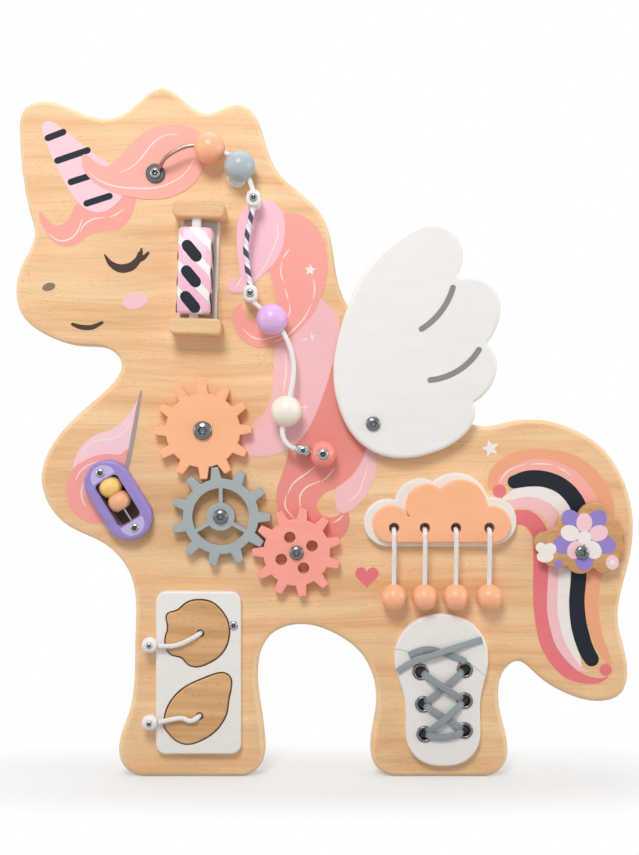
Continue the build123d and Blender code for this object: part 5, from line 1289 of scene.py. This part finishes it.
@dataclass
class BeadTrack:
    """A bent steel wire on posts, bare at its start and sleeved beyond the first bead."""

    height: float = 12.0
    start: Point = (-109.78, 392.16)
    upper: tuple = ((-81.8, 371.3), 36.6, 104.0, 8.5)       # centre, radius and the arc's two angles
    lead: tuple = ((-48.07, 309.52), (-36.73, 300.01))      # straight from the lower post
    lower: tuple = ((-67.2, 263.7), 47.4, 50.0, -13.2)
    sleeve_from: float = 72.0   # angle on the upper arc where the sleeve starts
    bend_turn: float = 4.0      # degrees of the upper arc that the bend from the start takes up
    overlap: float = 4.0        # degrees by which the bare wire reaches into its sleeve
    rise: tuple = ((2.4, 2.2, 2.6), (4.2, 4.4, 6.0), (7.6, 8.6, 11.6))     # x and z from the start, height
    run: float = 26.2
    hook_radius: float = 11.6
    hook_turn: float = 93.0
    bow: tuple = ((-45.4, 369.7), (-50.35, 343.3), (-47.5, 316.9))
    bare_radius: float = 1.35
    sleeve_radius: float = 1.55
    striped_radius: float = 1.75
    stripe_repeat: float = 11.6
    around: int = 24            # faces round the wire
    striped_around: int = 28
    bow_steps: int = 40
    lead_steps: int = 12
    run_steps: int = 8
    hook_steps: int = 30
    dressed: tuple = ((PEACH_BEAD, "track_bead_peach"), (GREY_BEAD, "track_bead_grey"),
                      (VIOLET_BEAD, "track_bead_purple"), (CREAM_BEAD, "track_bead_cream"),
                      (WHITE, "wire_anchor_upper"), (WHITE, "wire_anchor_lower"),
                      (WASHER, "wire_start_washer"), (NICKEL, "wire_end_clip"), (CORAL_KNOB, "end_knob"),
                      (WHITE, "track_stop"))

    def build(self) -> None:
        """Make the wire's three stretches and dress the posts, beads, clip and knob."""
        x, z = self.start
        centre, radius, first, last = self.upper
        rise = [at(x + dx, z + dz, height) for dx, dz, height in self.rise]
        head = arc(centre, radius, first - self.bend_turn, self.sleeve_from, self.height)
        bare = respaced(along_spline([*rise, at(*turned((radius, 0), centre, first), self.height), head[0]],
                                     "wire_rise_line") + head[1:], 0.7 * MM)
        wire = swept("wire_bare", bare, round_section(self.bare_radius), self.around, BRONZE)
        sleeve = arc(centre, radius, self.sleeve_from + self.overlap, last, self.height, 1.0)
        upper = swept("wire_sleeve_upper", sleeve, round_section(self.sleeve_radius), self.around, SLEEVE)
        lower = swept("wire_sleeve_lower", self.lower_line(), round_section(self.sleeve_radius),
                      self.around, SLEEVE)
        for piece, node in ((wire, "bead_wire_upper"), (upper, "bead_wire_upper"),
                            (lower, "bead_wire_lower")):
            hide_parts(node)
        bow = [at(*p, self.height) for p in through(self.bow, False, self.bow_steps)]
        striped = swept("striped_wire_sleeve", bow, round_section(self.striped_radius), self.striped_around,
                        SLEEVE_STRIPES, repeat=(self.stripe_repeat, 1.0))
        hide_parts("striped_sleeve")
        for finish, node in self.dressed:
            dress(finish, node)

    def lower_line(self) -> list[Vector]:
        """Return places along the lower wire: lead, arc, straight run and hook."""
        start, end = (at(*place, self.height) for place in self.lead)
        line = [start.lerp(end, k / self.lead_steps) for k in range(self.lead_steps)]
        centre, radius, first, last = self.lower
        line += arc(centre, radius, first, last, self.height, 1.0)
        way = (line[-1] - line[-2]).normalized()
        foot = line[-1] + way * self.run * MM
        for k in range(self.run_steps):
            line.append(line[-1].lerp(foot, 1 / (self.run_steps - k)))
        side = way.cross(Vector((0, 1, 0)))
        if side.x < 0:
            side = -side
        for k in range(1, self.hook_steps + 1):
            a = math.radians(self.hook_turn * k / self.hook_steps)
            line.append(foot + (way * math.sin(a) + side * (1 - math.cos(a))) * self.hook_radius * MM)
        return line


@dataclass
class Roller:
    """A striped square drum on an upright axle between two beech blocks, over a milky channel."""

    centre: Point = (-82.66, 326.84)
    lean: float = -1.8
    axis_height: float = 14.3
    width: float = 21.6
    depth: float = 16.0
    length: float = 55.0
    corner: float = 4.0
    corner_steps: int = 8
    edge: float = 2.2           # softened end edges
    edge_middle: Point = (0.35, 0.3)    # a place between: along and inwards, as shares of the edge
    bars: int = 3
    bar_pitch: float = 16.2
    bar_first: float = 12.0     # height of the top bar above the drum's middle
    bar_half: Point = (3.0, 3.4)
    bar_offset: float = -1.7    # of the bars on the front wall
    bar_width: float = 7.2
    bar_heights: Point = (-0.1, 0.06)   # of a bar's rear and front, from the film
    stripe_pitch: float = 16.4

    def ring(self, inward: float) -> list[tuple[float, float, float]]:
        """Return the section's outline and the share of the girth at each place, moved inwards."""
        hw, hd, r = self.width / 2 - inward, self.depth / 2 - inward, self.corner - 0.5 * inward
        places = []
        for cx, cy, first in ((hw - r, hd - r, 0), (-hw + r, hd - r, 90), (-hw + r, -hd + r, 180),
                              (hw - r, -hd + r, 270)):
            for k in range(self.corner_steps + 1):
                a = math.radians(first + 90 * k / self.corner_steps)
                places.append((cx + r * math.cos(a), cy + r * math.sin(a)))
        total = [0.0]
        for a, b in zip(places, places[1:] + places[:1]):
            total.append(total[-1] + math.dist(a, b))
        return [(x, y, t / total[-1]) for (x, y), t in zip(places + places[:1], total)]

    def build(self) -> None:
        """Make the drum's film with its bars and dress the rest."""
        half = self.length / 2
        along, deep = (share * self.edge for share in self.edge_middle)
        levels = [(-half, self.edge), (-half + along, deep), (-half + self.edge, 0.0),
                  (half - self.edge, 0.0), (half - along, deep), (half, self.edge)]
        verts, coords = [], []
        for z, inward in levels:
            for x, y, share in self.ring(inward):
                px, pz = turned((x, z), self.centre, self.lean)
                verts.append(at(px, pz, self.axis_height + y))
                coords.append((z / self.stripe_pitch, share))
        count = len(verts) // len(levels)
        faces = [(r * count + k, r * count + k + 1, (r + 1) * count + k + 1, (r + 1) * count + k)
                 for r in range(len(levels) - 1) for k in range(count - 1)]
        faces += [tuple(range(count - 2, -1, -1)),
                  tuple(range((len(levels) - 1) * count, len(levels) * count - 1))]
        drum = make_piece("drum_film", verts, faces, CANDY_STRIPES, "drum_body", 50, lambda n: coords[n])
        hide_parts("roller_drum")
        for wall in range(4):
            reach, x = ((self.width / 2, 0.0) if wall % 2 else (self.depth / 2, self.bar_offset))
            for number in range(self.bars):
                z = self.bar_first - self.bar_pitch * number
                dx, dz = self.bar_half
                outline = stroke([(x - dx, z + dz, self.bar_width), (x + dx, z - dz, self.bar_width)], 3, 4)
                self.bar(wall, number, outline, reach)
        dress(MILKY, "roller_channel")
        dress(NYLON, "roller_axle")
        dress(BEECH_BLOCK, "roller_block_top", "roller_block_bottom")

    def bar(self, wall: int, number: int, outline: Outline, reach: float) -> None:
        """Print one dark bar on a wall of the drum; walls count from the front, clockwise from above."""
        face_turn = Matrix.Rotation(math.radians(90 * wall), 3, "Z")
        verts = []
        for out in (reach + height for height in self.bar_heights):
            for x, z in outline:
                p = face_turn @ Vector((x, -out, 0))
                px, pz = turned((p.x, z), self.centre, self.lean)
                verts.append(Vector((px, BOARD_FACE - self.axis_height + p.y, pz)) * MM)
        count = len(outline)
        faces = [tuple(range(count)), tuple(range(2 * count - 1, count - 1, -1))]
        faces += [(i, count + i, count + (i + 1) % count, (i + 1) % count) for i in range(count)]
        piece = make_piece(f"drum_bar_{wall + 1}_{number + 1}", verts, faces, INK_NAVY, "drum_body", 30)


@dataclass
class Wing:
    """The white wing, with two grey lines brushed over its narrower grooves."""

    grooves: tuple = (((82.3, 316.9), (73.0, 299.6), (62.1, 290.3)),
                      ((99.0, 277.1), (85.4, 263.5), (67.7, 257.6)))
    width: float = 3.7          # of a brushed line
    front: float = 11.0
    film: float = 0.12          # thickness of the paint

    def build(self) -> None:
        """Brush the lines and dress the wing and its spacer."""
        for number, points in enumerate(self.grooves, 1):
            line = self.circle_through(points)
            piece = slab(f"wing_groove_{number}", stroke([(x, z, self.width) for x, z in line], 1, 6),
                         self.front - self.film, self.front + self.film, GROOVE_GREY, "wing_body")
        dress(WHITE, "wing")
        dress(NYLON, "wing_spacer")

    def circle_through(self, points: Sequence[Point], count: int = 16) -> list[Point]:
        """Return places on the arc through three points."""
        (ax, az), (bx, bz), (cx, cz) = points
        d = 2 * (ax * (bz - cz) + bx * (cz - az) + cx * (az - bz))
        a, b, c = ax**2 + az**2, bx**2 + bz**2, cx**2 + cz**2
        ux = (a * (bz - cz) + b * (cz - az) + c * (az - bz)) / d
        uz = (a * (cx - bx) + b * (ax - cx) + c * (bx - ax)) / d
        radius = math.hypot(ax - ux, az - uz)
        first, last = math.atan2(az - uz, ax - ux), math.atan2(cz - uz, cx - ux)
        sweep = (last - first + math.pi) % math.tau - math.pi
        angles = [first + sweep * k / count for k in range(count + 1)]
        return [(ux + radius * math.cos(a), uz + radius * math.sin(a)) for a in angles]


@dataclass
class Slider:
    """A capsule frame with two wooden beads on a rod, over a pocket lined with painted shade."""

    centre: Point = (-132.9, 180.4)
    lean: float = 32.0
    window: Point = (16.6, 31.2)
    lining_gap: float = 0.3     # from the window's edge to the pocket's lining
    lining: Point = (-3.9, -3.7)        # heights of its rear and front
    seat_root: Point = (8.0, 16.4)      # half the width of a screw's seat, and its start from the middle
    seat_end: Point = (8.2, 7.9)        # half axes of the seat's round end
    seat_shoulder: float = 17.4         # where the round end starts, from the middle
    seat: Point = (9.6, 10.08)          # heights of the seat's rear and front

    def build(self) -> None:
        """Dress the frame and beads, line the pocket with painted shade, and paint the screws' seats."""
        dress(LILAC, "slider_frame")
        dress(YELLOW_BEAD, "slider_bead_yellow")
        dress(SAND_BEAD, "slider_bead_peach")
        dress(NICKEL, "slider_rod")
        w, h = (size / 2 - self.lining_gap for size in self.window)
        lining = [turned(p, self.centre, self.lean) for p in ((-w, -h), (w, -h), (w, h), (-w, h))]
        # painted shade: a dark sheet deep in the window stands for the shade there
        slab("slider_pocket", lining, *self.lining, BEECH_SHADE)
        half, start = self.seat_root
        across, along = self.seat_end
        for number, side in enumerate((1, -1), 1):
            tongue = [(-half, side * start), (half, side * start)]
            tongue += [(across * math.cos(a), side * (self.seat_shoulder + along * math.sin(a)))
                       for a in (math.pi * k / 12 for k in range(13))]
            outline = [turned(p, self.centre, self.lean) for p in tongue]
            piece = slab(f"slider_seat_{number}", outline if side > 0 else outline[::-1], *self.seat,
                         LAVENDER, soften=0.1)


class Cloud:
    """The white cloud with its peach front; the hanging cords have a class of their own."""

    def build(self) -> None:
        """Dress both layers."""
        dress(WHITE, "cloud_base")
        dress(PEACH, "cloud_front")


@dataclass
class Spinner:
    """The beech wheel on the tail, printed with a flower, small round clouds and dots."""

    centre: Point = (165.5, 146.8)
    front: float = 8.5
    flower: Point = (1.5, 9.5)          # its middle from the pivot
    petals: int = 5
    petal: tuple = (9.6, 12.4, 10.2)            # distance from the flower's middle, length and width
    outer_petal: tuple = (12.4, 17.6, 12.4)
    heart: float = 8.8          # width of the flower's middle
    puffs: tuple = ((-23.6, -2.6, 11.0, 7.6, 1.25, INK_CREAM), (-20.6, 2.2, 8.4, 8.0, 1.5, INK_CREAM),
                    (-26.4, 3.2, 6.6, 6.6, 1.75, INK_CREAM), (-15.2, -7.4, 5.4, 5.4, 1.25, INK_VIOLET),
                    (19.6, -6.4, 8.4, 9.4, 1.25, INK_PINK), (19.6, -6.4, 3.6, 3.6, 2.25, INK_CREAM))

    def build(self) -> None:
        """Print the motif and dress the wheel and its spacer."""
        cx, cz = self.centre
        mx, mz = cx + self.flower[0], cz + self.flower[1]
        shapes = []
        step = 360 // self.petals
        for k in range(self.petals):
            lean = 90 + step * k
            for name, (away, length, width), turn, layer, ink in (
                    ("outer_petal", self.outer_petal, lean + step // 2, 1, INK_VIOLET),
                    ("petal", self.petal, lean, 2, INK_CREAM if k % 2 else INK_PINK)):
                shapes.append((f"{name}_{k + 1}",
                               ellipse(turned((away, 0), (mx, mz), turn), length, width, turn), layer, ink))
        shapes.append(("heart_of_flower", ellipse((mx, mz), self.heart, self.heart), 3, INK_CREAM))
        for k, (dx, dz, width, height, layer, ink) in enumerate(self.puffs, 1):
            shapes.append((f"puff_{k}", ellipse((cx + dx, cz + dz), width, height), layer, ink))
        for name, outline, layer, ink in shapes:
            Print(f"spinner_{name}", outline, layer, ink).build("spinner_body", self.front)
        dress(BEECH_TAN, "cloud_spinner")
        dress(NYLON, "spinner_spacer")


class Gears:
    """Three painted wheels in mesh on flanged bushes."""

    def build(self) -> None:
        """Dress the wheels and bushes."""
        for finish, node in ((PEACH, "gear_peach"), (GREY, "gear_grey"), (CORAL, "gear_pink")):
            dress(finish, node)
        dress(NYLON, "gear_bushes")


class Panel:
    """The white puzzle panel with two loose beech pieces and two cord knobs."""

    def build(self) -> None:
        """Dress the panel, pieces and knobs."""
        dress(WHITE, "puzzle_panel", "cord_knobs", "shoe_plate")
        dress(BEECH_PIECE, "puzzle_fruit", "puzzle_leaf")


# ---------------------------------------------------------------- studio

@dataclass
class Studio:
    """Camera, lamps, pale floor and world."""

    eye: tuple[float, float, float] = (-3.25, -797.85, 227.2)
    focal: float = 1230.8       # pixels, in a frame as tall as the next line says
    frame_height: float = 855.0
    sensor: float = 36.0
    aim: tuple[float, float, float] = (0.0, 0.0, 0.2)   # metres; what the lamps point at
    floor_size: float = 6.0     # metres
    floor_glow: float = 0.90    # strength of the floor's pale share near the object
    floor_share: float = 0.42   # that share
    floor_reach: Point = (0.34, 0.075)  # metres to the side and to the front in which the shadow fades out
    floor_fade: Point = (0.4, 1.3)      # shares of that reach between which the floor turns white
    ambient: Point = (0.33, 0.70)       # strength of the soft light from in front and from behind
    ambient_turn: Point = (-0.1, 0.25)  # the direction's Y between which the one turns into the other
    lamps: tuple = (("key", (-0.20, -0.97, 0.98), 0.45, 8.7), ("left", (-1.5, -0.35, 0.5), 0.8, 4.0),
                    ("right", (1.5, -0.35, 0.45), 0.8, 6.8), ("top", (0.0, 0.12, 1.5), 1.2, 5.4))

    def build(self) -> None:
        """Set up everything that isn't the object."""
        scene = bpy.context.scene
        scene.view_settings.view_transform = "Standard"
        data = bpy.data.cameras.new("camera")
        data.sensor_fit = "VERTICAL"
        data.sensor_height = data.sensor_width = self.sensor
        data.lens = self.focal * self.sensor / self.frame_height
        camera = bpy.data.objects.new("camera", data)
        camera.location = Vector(self.eye) * MM
        camera.rotation_euler = (math.radians(90), 0, 0)
        scene.collection.objects.link(camera)
        scene.camera = camera
        for name, place, size, power in self.lamps:
            light = bpy.data.lights.new(name, "AREA")
            light.shape, light.size, light.energy = "DISK", size, power
            lamp = bpy.data.objects.new(name, light)
            lamp.location = place
            lamp.rotation_euler = (Vector(self.aim) - Vector(place)).to_track_quat("-Z", "Y").to_euler()
            scene.collection.objects.link(lamp)
        self.world(scene)
        self.floor()

    def world(self, scene: bpy.types.Scene) -> None:
        """Make a world that is white to look at, mirrored or seen through, and soft as a light."""
        world = bpy.data.worlds.new("studio_world")
        scene.world = world
        world.use_nodes = True
        tree = world.node_tree
        tree.nodes.clear()
        source = add(tree, "ShaderNodeTexCoord").outputs["Generated"]
        way = add(tree, "ShaderNodeSeparateXYZ", links={0: source})
        soft = add(tree, "ShaderNodeMapRange",
                   {"From Min": self.ambient_turn[0], "From Max": self.ambient_turn[1],
                    "To Min": self.ambient[0], "To Max": self.ambient[1]}, {"Value": way.outputs["Y"]})
        strength = add(tree, "ShaderNodeMix", {"data_type": "FLOAT", 3: 1.0},
                       {0: self.seen(tree), 2: soft.outputs[0]})
        back = add(tree, "ShaderNodeBackground", {"Color": (1, 1, 1, 1)}, {"Strength": strength.outputs[0]})
        add(tree, "ShaderNodeOutputWorld", links={"Surface": back.outputs[0]})

    def seen(self, tree: bpy.types.NodeTree) -> bpy.types.NodeSocket:
        """Return 1 for what the eye, a reflection or a clear material sees, and 0 for light."""
        path = add(tree, "ShaderNodeLightPath")
        once = add(tree, "ShaderNodeMath", {"operation": "MAXIMUM"},
                   {0: path.outputs["Is Camera Ray"], 1: path.outputs["Is Glossy Ray"]})
        return add(tree, "ShaderNodeMath", {"operation": "MAXIMUM"},
                   {0: once.outputs[0], 1: path.outputs["Is Transmission Ray"]}).outputs[0]

    def floor(self) -> None:
        """Make a wide pale floor that keeps the object's shadow."""
        half = self.floor_size / 2
        mesh = bpy.data.meshes.new("floor")
        mesh.from_pydata([(-half, -half, 0), (half, -half, 0), (half, half, 0), (-half, half, 0)], [],
                         [(0, 1, 2, 3)])
        made = bpy.data.materials.new("studio_floor")
        made.use_nodes = True
        tree = made.node_tree
        tree.nodes.clear()
        matt = add(tree, "ShaderNodeBsdfDiffuse", {"Color": linear("#EDECEB")})
        # the light meets a duller floor than the eye, so that less of it comes back up
        dull = add(tree, "ShaderNodeBsdfDiffuse", {"Color": linear("#BDBBB9")})
        glow = add(tree, "ShaderNodeEmission", {"Color": (1, 1, 1, 1), "Strength": self.floor_glow})
        white = add(tree, "ShaderNodeEmission", {"Color": (1, 1, 1, 1), "Strength": 1.0})
        near = add(tree, "ShaderNodeMixShader", {0: self.floor_share},
                   {1: matt.outputs[0], 2: glow.outputs[0]})
        wide, deep = self.floor_reach
        spread = add(tree, "ShaderNodeMapping", {"Scale": (1 / wide, 1 / deep, 1)},
                     {"Vector": add(tree, "ShaderNodeTexCoord").outputs["Object"]})
        away = add(tree, "ShaderNodeVectorMath", {"operation": "LENGTH"}, {0: spread.outputs[0]})
        fade = add(tree, "ShaderNodeMapRange",
                   {"interpolation_type": "SMOOTHSTEP", "From Min": self.floor_fade[0],
                    "From Max": self.floor_fade[1]}, {"Value": away.outputs["Value"]})
        pale = add(tree, "ShaderNodeMixShader",
                   links={0: fade.outputs[0], 1: near.outputs[0], 2: white.outputs[0]})
        shown = add(tree, "ShaderNodeMixShader", links={0: self.seen(tree), 1: dull.outputs[0],
                                                        2: pale.outputs[0]})
        add(tree, "ShaderNodeOutputMaterial", links={"Surface": shown.outputs[0]})
        mesh.materials.append(made)
        floor = bpy.data.objects.new("floor", mesh)
        bpy.context.scene.collection.objects.link(floor)


def main() -> None:
    """Build every sub-assembly in order."""
    logging.basicConfig(level=logging.INFO, format="%(message)s")
    Studio().build()
    PullCords().build()
    Tethers().build()
    Shoelace().build()
    dress(BEECH_BOARD, "board")
    for part in (Decoration(), BeadTrack(), Roller(), Gears(), Wing(), Slider(), Cloud(), Spinner(), Panel(),
                 Screws()):
        part.build()
        log.info("built %s", type(part).__name__)


if __name__ == "__main__":
    main()
